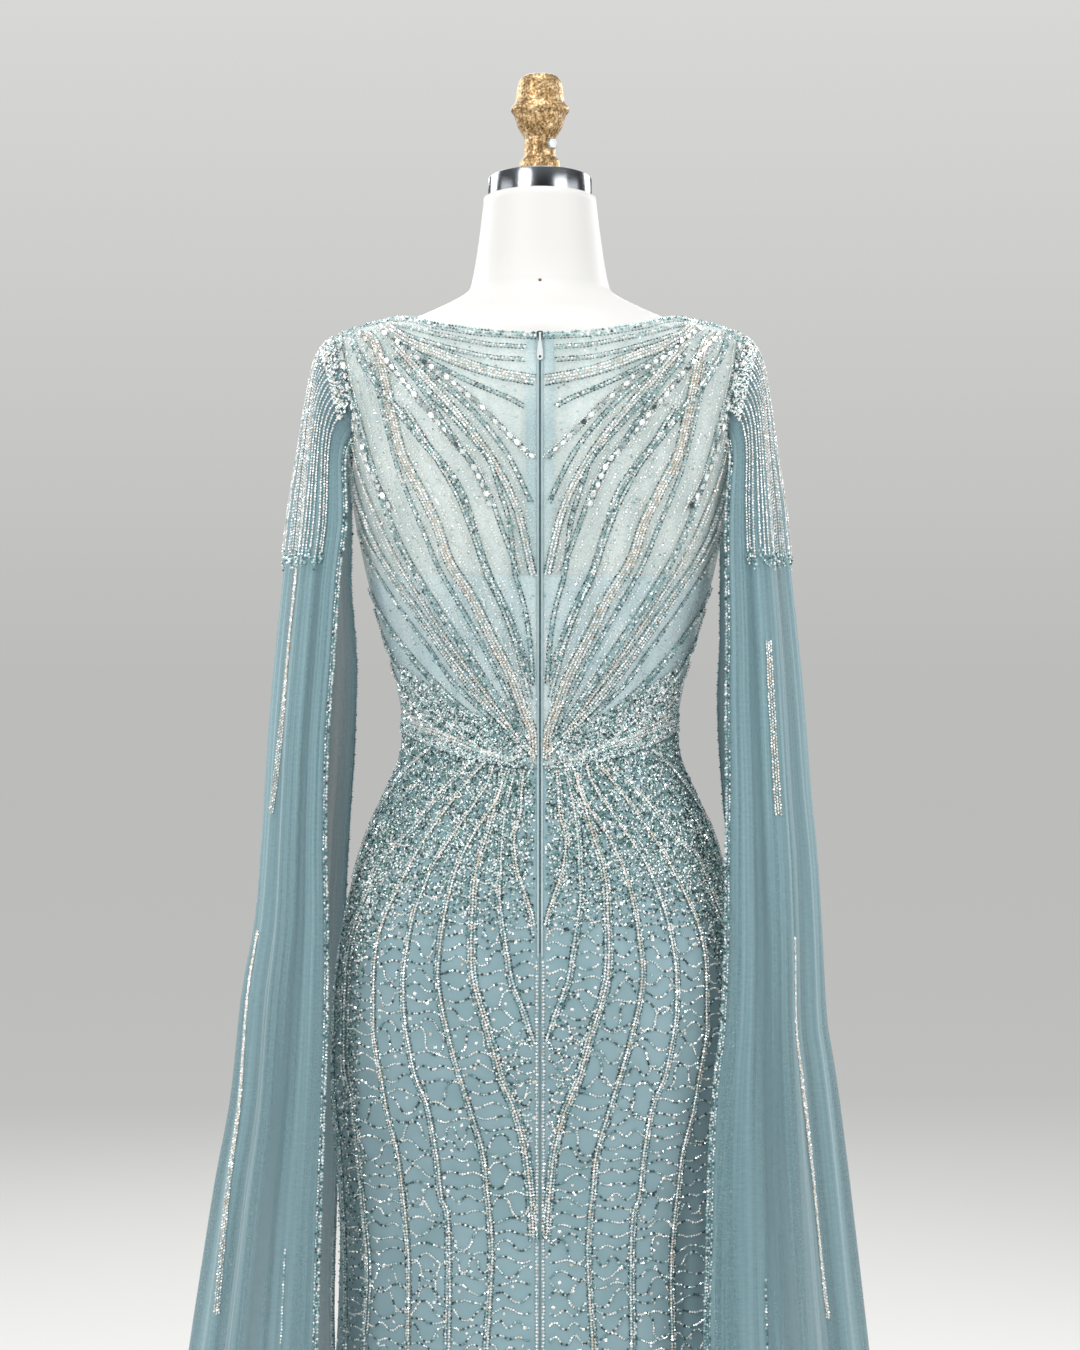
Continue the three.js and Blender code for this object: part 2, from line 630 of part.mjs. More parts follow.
function fringe(grid) {
  const columns = [];
  for (let i = 0; i <= SLEEVE_COLUMNS_COUNT; i += 1) {
    const share = sleeveShare(i);
    if (share > STRAND_FIRST && share < STRAND_LAST) columns.push(i);
  }
  const shares = [STRAND_FIRST, ...columns.map(sleeveShare), STRAND_LAST];
  const columnAt = (share) => {
    let i = 0;
    while (i < SLEEVE_COLUMNS_COUNT - 1 && sleeveShare(i + 1) < share) i += 1;
    return i + (share - sleeveShare(i)) / (sleeveShare(i + 1) - sleeveShare(i));
  };
  const strip = wall(
    shares.length - 1,
    1,
    (i, j, out) => grid.between(columnAt(shares[i]), j === 0 ? STRIP.top : STRIP.bottom, out),
    STRIP,
  );
  const strands = [];
  for (let k = 0; k < STRAND_COUNT; k += 1) {
    const share = mix(STRAND_FIRST, STRAND_LAST, (k + 0.5) / STRAND_COUNT);
    const endZ = STRAND_END_Z + STRAND_END_UNEVEN * Math.sin(STRAND_END_STEP * k);
    strands.push(strand(grid, columnAt(share), endZ));
  }
  return joined([strip, ...strands]);
}

// Zip slider and pull tab, in their own frame: X across, Y away from the cloth, Z up along it

function block(width, depth, height, x, y, z) {
  return new THREE.BoxGeometry(width, depth, height).translate(x, y, z);
}

function sliderGeometry() {
  const { width, height, thick, waist } = SLIDER;
  const shape = new THREE.Shape();
  shape.moveTo(-width / 2, height / 2 - 1);
  shape.quadraticCurveTo(0, height / 2 + 1, width / 2, height / 2 - 1);
  shape.lineTo(waist / 2, -height / 2);
  shape.lineTo(-waist / 2, -height / 2);
  shape.closePath();
  const plate = new THREE.ExtrudeGeometry(shape, { depth: thick, bevelEnabled: false, curveSegments: 6 });
  plate.rotateX(Math.PI / 2).translate(0, thick, 0);
  const ears = [-1, 1].map((side) => block(
    EAR.thick,
    EAR.depth + EAR_OVERLAP,
    EAR.height,
    side * (EAR.gap + EAR.thick) / 2,
    thick + EAR.depth / 2 - EAR_OVERLAP / 2,
    EAR.up,
  ));
  return joined([plate, ...ears]);
}

function tabGeometry() {
  const { length, width, thick, neck, hole, holeUp } = TAB;
  const shape = new THREE.Shape();
  const round = width / 2;
  shape.moveTo(neck / 2, 0);
  shape.bezierCurveTo(neck / 2, -length * 0.45, round, -length * 0.5, round, round - length);
  shape.absarc(0, round - length, round, 0, -Math.PI, true);
  shape.bezierCurveTo(-round, -length * 0.5, -neck / 2, -length * 0.45, -neck / 2, 0);
  shape.closePath();
  const opening = new THREE.Path();
  opening.absarc(0, round - length + holeUp, hole, 0, 2 * Math.PI, false);
  shape.holes.push(opening);
  const plate = new THREE.ExtrudeGeometry(shape, { depth: thick, bevelEnabled: false, curveSegments: 6 });
  plate.rotateX(Math.PI / 2).translate(0, thick / 2, 0);
  const pin = new THREE.CylinderGeometry(BARREL.radius, BARREL.radius, BARREL.length, 10).rotateZ(Math.PI / 2);
  return joined([plate, pin]);
}

function zipHardware() {
  const seat = onFigure(0, SLIDER_Z, SHELL.outer + GAP);
  const normal = outward(figurePoint, 0, SLIDER_Z, ANGLE_STEP, HEIGHT_STEP).negate();
  const group = new THREE.Group();
  group.position.copy(seat);
  group.rotation.x = Math.atan2(normal.z, normal.y);
  const slider = piece('zip_slider', sliderGeometry(), COLOURS.steel, 0.3, 1);
  const tab = piece('zip_pull_tab', tabGeometry(), COLOURS.steel, 0.3, 1);
  tab.position.set(0, SLIDER.thick + EAR.depth / 2 + GAP, EAR.up);
  tab.rotation.x = radians(-TAB.lean);
  group.add(slider, tab);
  return group;
}

// Dress form and stand

const FORM_HEIGHTS = [
  FORM_BOTTOM, 760, 805, 844, 900, 955, 1000, 1040, 1075, 1110, 1150, 1200, 1250, 1305, 1360, 1400, 1417, 1426,
  1432, 1438, 1444, 1450, 1458, 1466, 1475, 1494, 1530, CAP_BOTTOM - GAP,
];
const FORM_AROUND = 32;
const FINIAL_AROUND = 20;
const FORM_BUST_SETBACK = -7;
const CLOTH_TOP = { full: 1447, none: 1470 };

// How far the form is set back under the cloth: fully below the neckline, not at all above, and a little
// more under the cups
function formSetback(angle, z) {
  const share = THREE.MathUtils.clamp((CLOTH_TOP.none - z) / (CLOTH_TOP.none - CLOTH_TOP.full), 0, 1);
  const cups = Math.max(0, -Math.cos(radians(angle))) * Math.exp(-(((z - BUST.z) / BUST.spread) ** 2));
  return FORM_UNDER_CLOTH * share + FORM_BUST_SETBACK * cups;
}

// Extra height of the neck's top, which leans with the cap
function capLean(y, z) {
  const share = THREE.MathUtils.clamp((z - TILT_START) / (CAP_BOTTOM - TILT_START), 0, 1);
  return share * (y - CAP_CENTRE_Y) * Math.tan(radians(CAP_TILT));
}

function formBody() {
  const at = (i, j) => {
    const z = FORM_HEIGHTS[j];
    const angle = (360 * i) / FORM_AROUND;
    const point = onFigure(angle, z, formSetback(angle, z));
    if (z === FORM_BOTTOM || z > TILT_START) point.z = z;
    point.z += capLean(point.y, z);
    return point;
  };
  return ringStack(FORM_AROUND, FORM_HEIGHTS.length - 1, at);
}

function turned(profile, around) {
  const points = profile.map(([radius, z]) => new THREE.Vector2(radius, z));
  return new THREE.LatheGeometry(points, around).rotateX(Math.PI / 2);
}

function neckCap() {
  const cap = piece('neck_cap', turned(CAP_PROFILE, FORM_AROUND), COLOURS.steel, 0.3, 1);
  cap.position.set(0, CAP_CENTRE_Y, CAP_BOTTOM);
  cap.rotation.x = radians(CAP_TILT);
  return cap;
}

// The finial's foot follows the slope of the cap's top.
function finialGeometry() {
  const geometry = turned(FINIAL_PROFILE, FINIAL_AROUND);
  const position = geometry.attributes.position;
  const slope = Math.tan(radians(CAP_TILT));
  const planeHeight = FINIAL_FOOT + GAP + (CAP_HEIGHT / Math.cos(radians(CAP_TILT)) - CAP_HEIGHT);
  for (let k = 0; k < position.count; k += 1) {
    if (Math.abs(position.getZ(k) - FINIAL_FOOT) < 1e-3) {
      position.setZ(k, planeHeight + (position.getY(k) - CAP_CENTRE_Y) * slope);
    }
  }
  return geometry;
}

function finialScrew() {
  const head = new THREE.CylinderGeometry(SCREW.radius, SCREW.radius, SCREW.length, 6);
  head.translate(0, SCREW.stem + GAP + SCREW.length / 2, 0);
  const screw = piece('finial_screw', head, COLOURS.steel, 0.35, 1);
  screw.position.z = SCREW.z;
  screw.rotation.z = radians(SCREW.azimuth);
  return screw;
}

function standPole() {
  const bottom = HUB_HEIGHT + GAP;
  const length = FORM_BOTTOM - GAP - bottom;
  const pole = new THREE.CylinderGeometry(POLE_RADIUS, POLE_RADIUS, length, 16).rotateX(Math.PI / 2);
  return pole.translate(0, 0, bottom + length / 2);
}


// The whole

const bodice = new THREE.Group();
bodice.add(piece('bodice_front', frontPanel(BODICE_ROWS, SHELL), COLOURS.sheer));
bodice.add(piece('lining_front', frontPanel(LINING_ROWS, LINING), COLOURS.lining));

const skirt = new THREE.Group();
const frontStart = (z) => 180 - sideAngle(z, true);
const frontEnd = (z) => 180 + sideAngle(z, true);
skirt.add(piece('skirt_front', skirtPanel(SKIRT_FRONT_COLUMNS, frontStart, frontEnd), COLOURS.skirt));

const sleeves = new THREE.Group();
for (const [name, side] of Object.entries(SIDES)) {
  bodice.add(piece(`bodice_back_${name}`, backPanel(side, BODICE_ROWS, SHELL), COLOURS.sheer));
  bodice.add(piece(`lining_back_${name}`, backPanel(side, LINING_ROWS, LINING), COLOURS.lining));
  bodice.add(piece(`zip_tape_${name}`, zipTape(side), COLOURS.tape));
  const start = (z) => side * centreAngle(z);
  const end = (z) => side * sideAngle(z, false);
  skirt.add(piece(`skirt_back_${name}`, skirtPanel(SKIRT_BACK_COLUMNS, start, end), COLOURS.skirt));
  const grid = sleeveGrid(side, SLEEVES[name]);
  const sleeveWall = { inner: -SLEEVE_HALF_WALL, outer: SLEEVE_HALF_WALL };
  const sleeve = wall(SLEEVE_COLUMNS_COUNT, SLEEVE_DROPS.length - 1, grid.at, sleeveWall);
  sleeves.add(piece(`sleeve_${name}`, sleeve, COLOURS.sleeve));
  sleeves.add(piece(`fringe_${name}`, fringe(grid), COLOURS.beads, 0.3));
}

const dressForm = new THREE.Group();
dressForm.add(
  piece('form_body', formBody(), COLOURS.form, 0.6),
  neckCap(),
  piece('finial', finialGeometry(), COLOURS.gilt, 0.5, 0.8),
  finialScrew(),
  piece('stand_pole', standPole(), COLOURS.steel, 0.3, 1),
  piece('stand_base', turned(BASE_PROFILE, FORM_AROUND), COLOURS.paint, 0.5),
);

const gownOnForm = new THREE.Group();
gownOnForm.add(bodice, skirt, sleeves, zipHardware(), dressForm);

export default gownOnForm;
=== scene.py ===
"""Beaded evening gown with open cape sleeves, on a limbless dress form with its stand.

Laid out as an add-on: each piece or group of like pieces has an operator, and main() calls them in order.
The surfaces repeat the part's own formulas, in millimetres, and become metres when a mesh is made.
Angles round the figure start at the centre back: 90 degrees is the left side and 180 the centre front.
"""

import bpy
import numpy as np
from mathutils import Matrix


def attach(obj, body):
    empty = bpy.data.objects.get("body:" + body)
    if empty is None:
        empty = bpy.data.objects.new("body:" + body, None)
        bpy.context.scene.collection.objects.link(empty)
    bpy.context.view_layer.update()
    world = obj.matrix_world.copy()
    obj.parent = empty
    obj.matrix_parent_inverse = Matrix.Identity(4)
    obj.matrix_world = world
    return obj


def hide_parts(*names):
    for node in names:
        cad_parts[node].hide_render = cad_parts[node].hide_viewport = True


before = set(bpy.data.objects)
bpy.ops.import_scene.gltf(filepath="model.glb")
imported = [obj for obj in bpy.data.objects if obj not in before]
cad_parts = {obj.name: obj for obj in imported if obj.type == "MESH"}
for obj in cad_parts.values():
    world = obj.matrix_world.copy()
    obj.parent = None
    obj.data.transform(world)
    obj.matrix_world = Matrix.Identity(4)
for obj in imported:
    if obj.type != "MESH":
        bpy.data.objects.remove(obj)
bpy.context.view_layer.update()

bl_info = {
    "name": "Beaded Gown on a Dress Form",
    "version": (1, 0, 0),
    "blender": (4, 5, 0),
    "location": "View3D > Sidebar > Gown",
    "description": "Dresses the frame of a beaded evening gown with cloth, beads, zip and dress form",
    "category": "Object",
}

# Clearances and cloth, as in the part
GAP = 0.3
SEAM_HALF_GAP = 0.2
FORM_UNDER_CLOTH = -2.2
LINING_MIDDLE = 0.9
SHELL_MIDDLE = 2.5
SHELL_OUTER = 2.75
CLOTH_THICK = 0.45
SLEEVE_MIDDLE = 2.5
SLEEVE_SEAM_GAP = 1.6
WAIST_SIDE = 1088.0
WAIST_DIP_BACK = 30.0
WAIST_DIP_FRONT = 22.0
LINING_TOP_BACK = 1220.6
LINING_RISE_FRONT = 80.0
NECK_CENTRE_BACK = 1423.0
NECK_CENTRE_FRONT = 1416.0
NECK_POINT_X = 118.0
NECK_CURVE_BACK = 2.2
NECK_CURVE_FRONT = 1.5
SKIRT_HEM = 14.0
SLEEVE_HEM = 35.0
ARMHOLE_MIDDLE = 1365.0
ARMHOLE_HALF_HEIGHT = 64.0
ARMHOLE_HALF_ANGLE = 21.0
ARMHOLE_BOTTOM = ARMHOLE_MIDDLE - ARMHOLE_HALF_HEIGHT
ARMHOLE_TOP = ARMHOLE_MIDDLE + ARMHOLE_HALF_HEIGHT
SLEEVE_SEAM_START = -25.0
SLEEVE_SEAM_SWEEP = 230.0
FLUTES_START = 650.0
FOLD_DEPTH = 30.0
FOLD_GROWTH = 620.0
FOLD_COUNT = 4.5
FOLD_DRIFT = 0.32
SECTION_HALF_SWEEP = np.radians(110.0)
CAP_DROP = 11.0
TAPE_WIDTH = 11.6
ZIP_TOP = 1414.0
ZIP_END = 908.0
STRAND_END_Z = 1240.0
FORM_BOTTOM = 690.0
CAP_RADIUS = 44.5
CAP_CENTRE_Y = -4.0
CAP_BOTTOM = 1546.0
CAP_HEIGHT = 18.5
CAP_TILT = np.radians(7.5)
TILT_START = 1494.0
POLE_RADIUS = 12.5
BASE_RADIUS = 170.0
HUB_HEIGHT = 30.0
COIL_PITCH = 1.6
SCREW_Z = 1592.7
SCREW_TURN = np.radians(38.0)
NECK_JOINT = 1471.0
BUST_X, BUST_Z, BUST_SPREAD, BUST_DEPTH = 88.0, 1252.0, 52.0, 24.0
WAIST_HALF = 116.0
SIDES = {"left": 1, "right": -1}

# How the beads are sewn: the front has this share of the back's beads
FRONT_SHARE = 0.45
SEAM_CLEAR = 2.2
ZIP_CLEAR = 4.6
WAIST_BEADS = 4200
BODICE_SINGLES = 7600
HIP_BEADS = 14500
SIDE_GREENS = 5200
STRAP_BEADS = 1000
STRINGS_TOP = 972.0
STRING_GAPS = (9.2, 11.8)


class Curves:
    """Monotone cubic curves through the columns of a table, whose first column is the key."""

    def __init__(self, rows):
        rows = np.array(rows, float)
        self.keys, self.values = rows[:, 0], rows[:, 1:]
        slopes = np.diff(self.values, axis=0) / np.diff(self.keys)[:, None]
        before, after = slopes[:-1], slopes[1:]
        rising = before * after > 0
        total = np.where(rising, before + after, 1.0)
        inner = np.where(rising, 2 * before * after / total, 0.0)
        self.tangents = np.vstack((slopes[:1], inner, slopes[-1:]))

    def __call__(self, key):
        """Cubic Hermite interpolation between the two rows beside each key; the last axis is the columns."""
        key = np.clip(np.asarray(key, float), self.keys[0], self.keys[-1])
        i = np.clip(np.searchsorted(self.keys, key) - 1, 0, len(self.keys) - 2)
        step = (self.keys[i + 1] - self.keys[i])[..., None]
        t = (key - self.keys[i])[..., None] / step
        return (
            self.values[i] * (1 + 2 * t) * (1 - t) ** 2
            + self.tangents[i] * step * t * (1 - t) ** 2
            + self.values[i + 1] * t * t * (3 - 2 * t)
            + self.tangents[i + 1] * step * t * t * (t - 1)
        )


# The figure and the skirt's mean shape: height, half width, depth behind, depth before, section's power
FIGURE = Curves([
    (14, 268.5, 232.5, 205.5, 2.0), (120, 245, 212, 188, 2.0), (260, 214, 180, 160, 2.0),
    (400, 188, 146, 130, 2.05), (520, 174, 124, 112, 2.1), (600, 170, 116, 104, 2.15),
    (650, 169.5, 114, 101, 2.2), (700, 171.5, 115, 100, 2.2), (793, 177, 125, 102, 2.2),
    (844, 176, 130, 104, 2.2), (880, 173.5, 129, 105, 2.2), (919, 167.5, 123, 104.5, 2.2),
    (955, 160, 115, 102, 2.15), (983, 152, 107, 99, 2.1), (1015, 141, 97, 95, 2.05),
    (1040, 130, 88, 91, 2.0), (1062, 120, 81, 88, 2.0), (1080, 116.5, 78, 86.5, 2.0),
    (1097, 116, 77, 86.5, 2.05), (1124, 120, 79, 89, 2.1), (1150, 126, 83, 94, 2.15),
    (1174, 132, 87, 99, 2.2), (1210, 143, 93.5, 106, 2.3), (1240, 150, 98, 110, 2.4),
    (1290, 159, 105, 108, 2.45), (1340, 163.5, 105, 98, 2.45), (1380, 168, 100, 88, 2.4),
    (1410, 171.5, 91, 76, 2.3), (1424, 172.5, 86, 70, 2.2), (1429, 168, 84, 68, 2.05),
    (1433, 155, 82, 66, 1.9), (1438, 137, 79, 63, 1.8), (1443, 118, 76, 60.5, 1.7),
    (1448, 104, 73, 58, 1.7), (1455, 86, 69, 55, 1.8), (1462, 70, 65, 52, 1.9),
    (1468, 61, 61, 50, 2.0), (1480, 57.5, 56, 49, 2.0), (1494, 55, 52, 49, 2.0),
    (1530, 50, 46, 49, 2.0), (1566, 46, 41, 50, 2.0),
])
# The shoulder's ridge: x and height
RIDGE = Curves([
    (86, 1455), (104, 1448), (118, 1443), (137, 1438), (155, 1433), (168, 1429), (172.5, 1424),
])
# Sleeves: height, outermost reach, back edge x and y, front edge x and y
SLEEVES = {
    "left": Curves([
        (35, 370, 155, 232, 158, -215), (200, 350, 166, 200, 168, -185), (400, 322, 178, 160, 180, -150),
        (565, 299, 182.5, 132, 184, -126), (644, 287, 181.5, 122, 182, -118),
        (704, 277.8, 180, 116, 180, -112), (776, 265, 178, 108, 178, -104), (866, 256, 176, 98, 174, -96),
        (930, 245, 176.5, 92, 172, -88),
        (1003, 239, 178.5, 84, 168, -78), (1075, 234, 177.5, 80, 163, -72), (1146, 228, 173, 76, 161, -68),
        (1225, 219.5, 168, 70, 166, -62), (1270, 215, 163, 62, 165, -56), (1336, 205, 167, 46, 167, -44),
        (1400, 195.5, 168, 44, 168, -42), (1429, 193, 168, 42, 168, -40),
    ]),
    "right": Curves([
        (35, 355, 138, 236, 158, -215), (200, 332, 136, 205, 168, -185), (400, 300, 134, 165, 176, -150),
        (599, 276.5, 134, 134, 180, -124), (665, 269, 136, 128, 178, -116), (731, 261.5, 138, 122, 176, -110),
        (799, 253, 143, 114, 174, -102), (844, 246, 149, 108, 172, -98), (916, 242.7, 153, 98, 170, -92),
        (978, 239, 154, 90, 166, -84), (1041, 232.5, 155.5, 82, 160, -76), (1114, 226.5, 155, 76, 156, -70),
        (1170, 221, 156, 72, 158, -66), (1249, 212, 156, 62, 158, -58), (1281, 208.5, 157, 58, 160, -54),
        (1336, 200.5, 163, 46, 165, -44), (1400, 192.5, 166, 44, 166, -42), (1429, 190, 166, 42, 166, -40),
    ]),
}


# Surfaces: each is a function of two arrays that gives points in millimetres


def rounded(value, square):
    """A cosine or sine raised to the section's power, with its sign kept."""
    return np.sign(value) * np.abs(value) ** (2.0 / square)


def xyz(x, y, z):
    return np.stack(np.broadcast_arrays(x, y, z), axis=-1)


def figure(angle, z):
    """The figure: a superellipse at each height, with two soft mounds of the cups taken off y in front."""
    turn = np.radians(angle)
    half, back, front, square = np.moveaxis(FIGURE(z), -1, 0)
    along = np.cos(turn)
    x = half * rounded(np.sin(turn), square)
    y = np.where(along > 0, back, front) * rounded(along, square)
    mound = np.exp(-(((np.abs(x) - BUST_X) / BUST_SPREAD) ** 2 + ((z - BUST_Z) / BUST_SPREAD) ** 2))
    return xyz(x, y - np.where(along < 0, BUST_DEPTH * mound * along * along, 0.0), z)


def normals(surface, p, q):
    """The surface's outward direction, from the cross product of small central differences."""
    along = surface(p + 1.5, q) - surface(p - 1.5, q)
    up = surface(p, q + 0.8) - surface(p, q - 0.8)
    cross = np.cross(up, along)
    return cross / np.linalg.norm(cross, axis=-1, keepdims=True)


def raised(surface, p, q, out):
    """Points at a distance from a surface."""
    return surface(p, q) + normals(surface, p, q) * np.asarray(out)[..., None]


def flutes(angle, z):
    """Two cosines round the skirt, which grow as a power of the depth below the knee."""
    below = np.clip((FLUTES_START - z) / FLUTES_START, 0, None)
    wave = 0.7 * np.cos(np.radians(12 * angle)) + 0.3 * np.cos(np.radians(7 * angle) + 1)
    return 15 * below**1.35 * wave


# Creases of the skirt: angle at its top and foot, height of its top and foot, width in degrees, depth
SKIRT_CREASES = [
    (24, 22, 760, 380, 2.2, -2.6), (-22, -25, 700, 330, 2.4, -2.4), (40, 36, 690, 260, 3.0, -2.2),
    (-44, -41, 720, 300, 2.6, -2.8), (9, 6, 640, 300, 1.8, -1.8), (-8, -10, 610, 280, 2.0, -1.9),
    (63, 58, 930, 500, 3.6, -2.4), (-60, -64, 900, 520, 3.2, -2.6), (83, 88, 1010, 620, 4.2, -1.6),
    (-86, -80, 990, 600, 4.6, -1.8), (118, 126, 960, 450, 4.0, -2.2), (-121, -117, 930, 480, 4.4, -2.0),
    (147, 143, 820, 330, 3.2, -2.6), (-150, -153, 790, 300, 3.0, -2.4), (169, 172, 700, 280, 2.6, -2.2),
    (-171, -166, 720, 260, 2.8, -2.0), (33, 34, 1062, 960, 4.0, 0.9), (-35, -32, 1062, 950, 4.0, 0.8),
]


def creases(angle, z, table):
    """Soft troughs along slanting lines: a bell across each line, eased in and out along its length."""
    turn = (np.asarray(angle, float) + 180) % 360 - 180
    total = np.zeros(np.broadcast_shapes(np.shape(angle), np.shape(z)))
    for top_angle, foot_angle, top, foot, width, depth in table:
        share = np.clip((top - z) / (top - foot), 0, 1)
        ease = np.sin(np.pi * share) ** 0.7
        line = top_angle + (foot_angle - top_angle) * share
        away = (turn - line + 180) % 360 - 180
        total = total + depth * ease * np.exp(-((away / width) ** 2))
    return total


def skirt(angle, z):
    """The figure's mean shape, moved along its level normal by the flutes and the creases."""
    level = normals(figure, angle, z)
    level = level * np.array([1.0, 1.0, 0.0])
    level /= np.linalg.norm(level, axis=-1, keepdims=True)
    return figure(angle, z) + level * (flutes(angle, z) + creases(angle, z, SKIRT_CREASES))[..., None]


# Creases of the bodice: drag lines towards the waist seam and under the arm
BODICE_CREASES = [
    (58, 66, 1128, 1090, 4.5, -1.2), (-57, -67, 1132, 1090, 4.5, -1.1), (74, 79, 1142, 1092, 3.6, -1.0),
    (-75, -80, 1138, 1092, 3.8, -1.2), (70, 60, 1300, 1225, 4.0, -0.9), (-71, -62, 1306, 1228, 4.0, -1.0),
    (112, 120, 1150, 1092, 4.0, -1.1), (-110, -121, 1146, 1092, 4.0, -1.2), (140, 134, 1130, 1084, 4.0, -0.9),
    (-139, -133, 1132, 1084, 4.0, -0.9),
]


def bodice(angle, z):
    """The figure, pulled in a little along the bodice's drag lines."""
    away = normals(figure, angle, z)
    return figure(angle, z) + away * creases(angle, z, BODICE_CREASES)[..., None]


def side_angle(z, front):
    """The angle at which the back or the front reaches the side seam."""
    rows = FIGURE(z)
    depth = rows[..., 2] if front else rows[..., 1]
    return np.degrees(np.arccos((SEAM_HALF_GAP / depth) ** (rows[..., 3] / 2)))


def angle_at(x, z, front):
    """The unsigned angle of a point on the back or the front that lies x from the middle."""
    rows = FIGURE(z)
    share = np.clip((np.abs(x) / rows[..., 0]) ** (rows[..., 3] / 2), 0, 1)
    return np.minimum(np.degrees(np.arcsin(share)), side_angle(z, front))


def armhole_angle(z):
    """The armhole's edge, an oval round the side."""
    rise = np.clip((z - ARMHOLE_MIDDLE) / ARMHOLE_HALF_HEIGHT, -1, 1)
    return 90 - ARMHOLE_HALF_ANGLE * np.sqrt(1 - rise * rise)


def edge_angle(z, front):
    """The bodice's edge: the side seam, and above its foot the oval of the armhole."""
    side = side_angle(z, front)
    return np.where(z > ARMHOLE_BOTTOM, np.minimum(armhole_angle(z), side), side)


def waist_height(angle):
    """The waist seam, which dips from the sides to the middle as the square of a cosine."""
    along = np.cos(np.radians(angle))
    return WAIST_SIDE - np.where(along > 0, WAIST_DIP_BACK, WAIST_DIP_FRONT) * along * along


def waist_at(x, front):
    """The waist seam's height at a distance from the middle."""
    angle = np.degrees(np.arcsin(np.clip(x / WAIST_HALF, 0, 1)))
    return waist_height(180 - angle if front else angle)


def top_height(x, front):
    """The neckline, a power curve from the middle to the neck point, and past it the shoulder's ridge."""
    x = np.abs(x)
    centre = NECK_CENTRE_FRONT if front else NECK_CENTRE_BACK
    point = RIDGE(NECK_POINT_X)[0]
    power = NECK_CURVE_FRONT if front else NECK_CURVE_BACK
    curve = centre + (point - centre) * (x / NECK_POINT_X) ** power
    return np.where(x >= NECK_POINT_X, RIDGE(x)[..., 0], curve)


def bodice_panel(across, side, front):
    """Angle and height of a bodice panel's point: `across` is its share of the way to the side, and `side`
    the height of its row at the side. Rows run level between the waist, the lining's top and the neckline."""
    reach = figure(edge_angle(side, front), side)[..., 0]
    x = np.maximum(np.abs(across) * reach, 0 if front else SEAM_HALF_GAP)
    tip = figure(edge_angle(np.array(ARMHOLE_TOP), front), np.array(ARMHOLE_TOP))[0]
    top = top_height(np.abs(across) * tip, front)
    seam = np.degrees(np.arcsin(np.clip(np.abs(across), 0, 1)))
    waist = waist_height(180 - seam if front else seam) + GAP / 2
    lining_top = LINING_TOP_BACK + (LINING_RISE_FRONT * (1 - np.abs(across) ** 3) if front else 0.0)
    low = waist + (lining_top - waist) * (side - WAIST_SIDE) / (LINING_TOP_BACK - WAIST_SIDE)
    high = lining_top + (top - lining_top) * (side - LINING_TOP_BACK) / (ARMHOLE_TOP - LINING_TOP_BACK)
    z = np.where(side <= LINING_TOP_BACK, low, high)
    at_edge = (np.abs(across) > 1 - 1e-6) & (side > LINING_TOP_BACK)
    angle = np.where(at_edge, edge_angle(z, front), angle_at(x, z, front))
    return np.where(across < 0, -1, 1) * (180 - angle if front else angle), z


def sleeve_top(share):
    """Height of a sleeve's seam: the armhole's oval, drawn in, once round from the front to the back."""
    turn = np.radians(SLEEVE_SEAM_START + SLEEVE_SEAM_SWEEP * share)
    return ARMHOLE_MIDDLE + (ARMHOLE_HALF_HEIGHT - SLEEVE_SEAM_GAP) * np.sin(turn)


def sleeve(side, share, z):
    """Middle surface of a sleeve. The seam is the armhole's oval, drawn in; the section below is an open
    arch whose reach falls as a cosine from its middle to both hanging edges, with folds along it. The cloth
    passes from the seam into that arch as an exponential of the drop."""
    turn = np.radians(SLEEVE_SEAM_START + SLEEVE_SEAM_SWEEP * share)
    width = ARMHOLE_HALF_ANGLE - np.degrees(SLEEVE_SEAM_GAP / FIGURE(ARMHOLE_MIDDLE)[0])
    seam = raised(figure, 90 - width * np.cos(turn), sleeve_top(share), SLEEVE_MIDDLE)
    z = np.minimum(z, seam[..., 2])
    fallen = seam[..., 2] - z
    swing = SECTION_HALF_SWEEP * (1 - 2 * share)
    rows = SLEEVES[side](z)
    edge_x = np.where(swing >= 0, rows[..., 1], rows[..., 3])
    edge_y = np.where(swing >= 0, rows[..., 2], -rows[..., 4])
    inside = np.clip(np.sin(np.pi * np.clip(share, 0, 1)), 0, 1)
    wave = np.cos(2 * np.pi * (FOLD_COUNT * (share - 0.5) + FOLD_DRIFT * np.sin(2 * np.pi * share)))
    fold = -FOLD_DEPTH * (1 - np.exp(-fallen / FOLD_GROWTH)) * inside**0.6 * (1 - wave) / 2
    ripple = np.cos(2 * np.pi * (13 * share + 0.3 * np.sin(5 * share + z / 420)))
    ripple = ripple * np.cos(9 * share + z / 260)
    fold = fold + 2.2 * (1 - np.exp(-fallen / 160)) * inside**0.8 * ripple
    full_turn = 1 - np.cos(SECTION_HALF_SWEEP)
    x = rows[..., 0] - (rows[..., 0] - edge_x) * (1 - np.cos(swing)) / full_turn
    x = x + fold * np.cos(swing)
    y = edge_y * np.sin(swing) / np.sin(SECTION_HALF_SWEEP) + fold * np.sin(swing)
    blend = 1 - np.exp(-fallen / CAP_DROP)
    mirror = SIDES[side]
    return xyz(
        mirror * (seam[..., 0] + (x - seam[..., 0]) * blend), seam[..., 1] + (y - seam[..., 1]) * blend, z
    )


def sleeve_normals(side, share, z):
    """Outward direction of a sleeve, from small differences along it and down it."""
    along = sleeve(side, share + 0.003, z) - sleeve(side, share - 0.003, z)
    down = sleeve(side, share, z - 2.0) - sleeve(side, share, z - 0.5)
    cross = np.cross(along, down) * SIDES[side]
    return cross / np.maximum(np.linalg.norm(cross, axis=-1, keepdims=True), 1e-9)


# Meshes


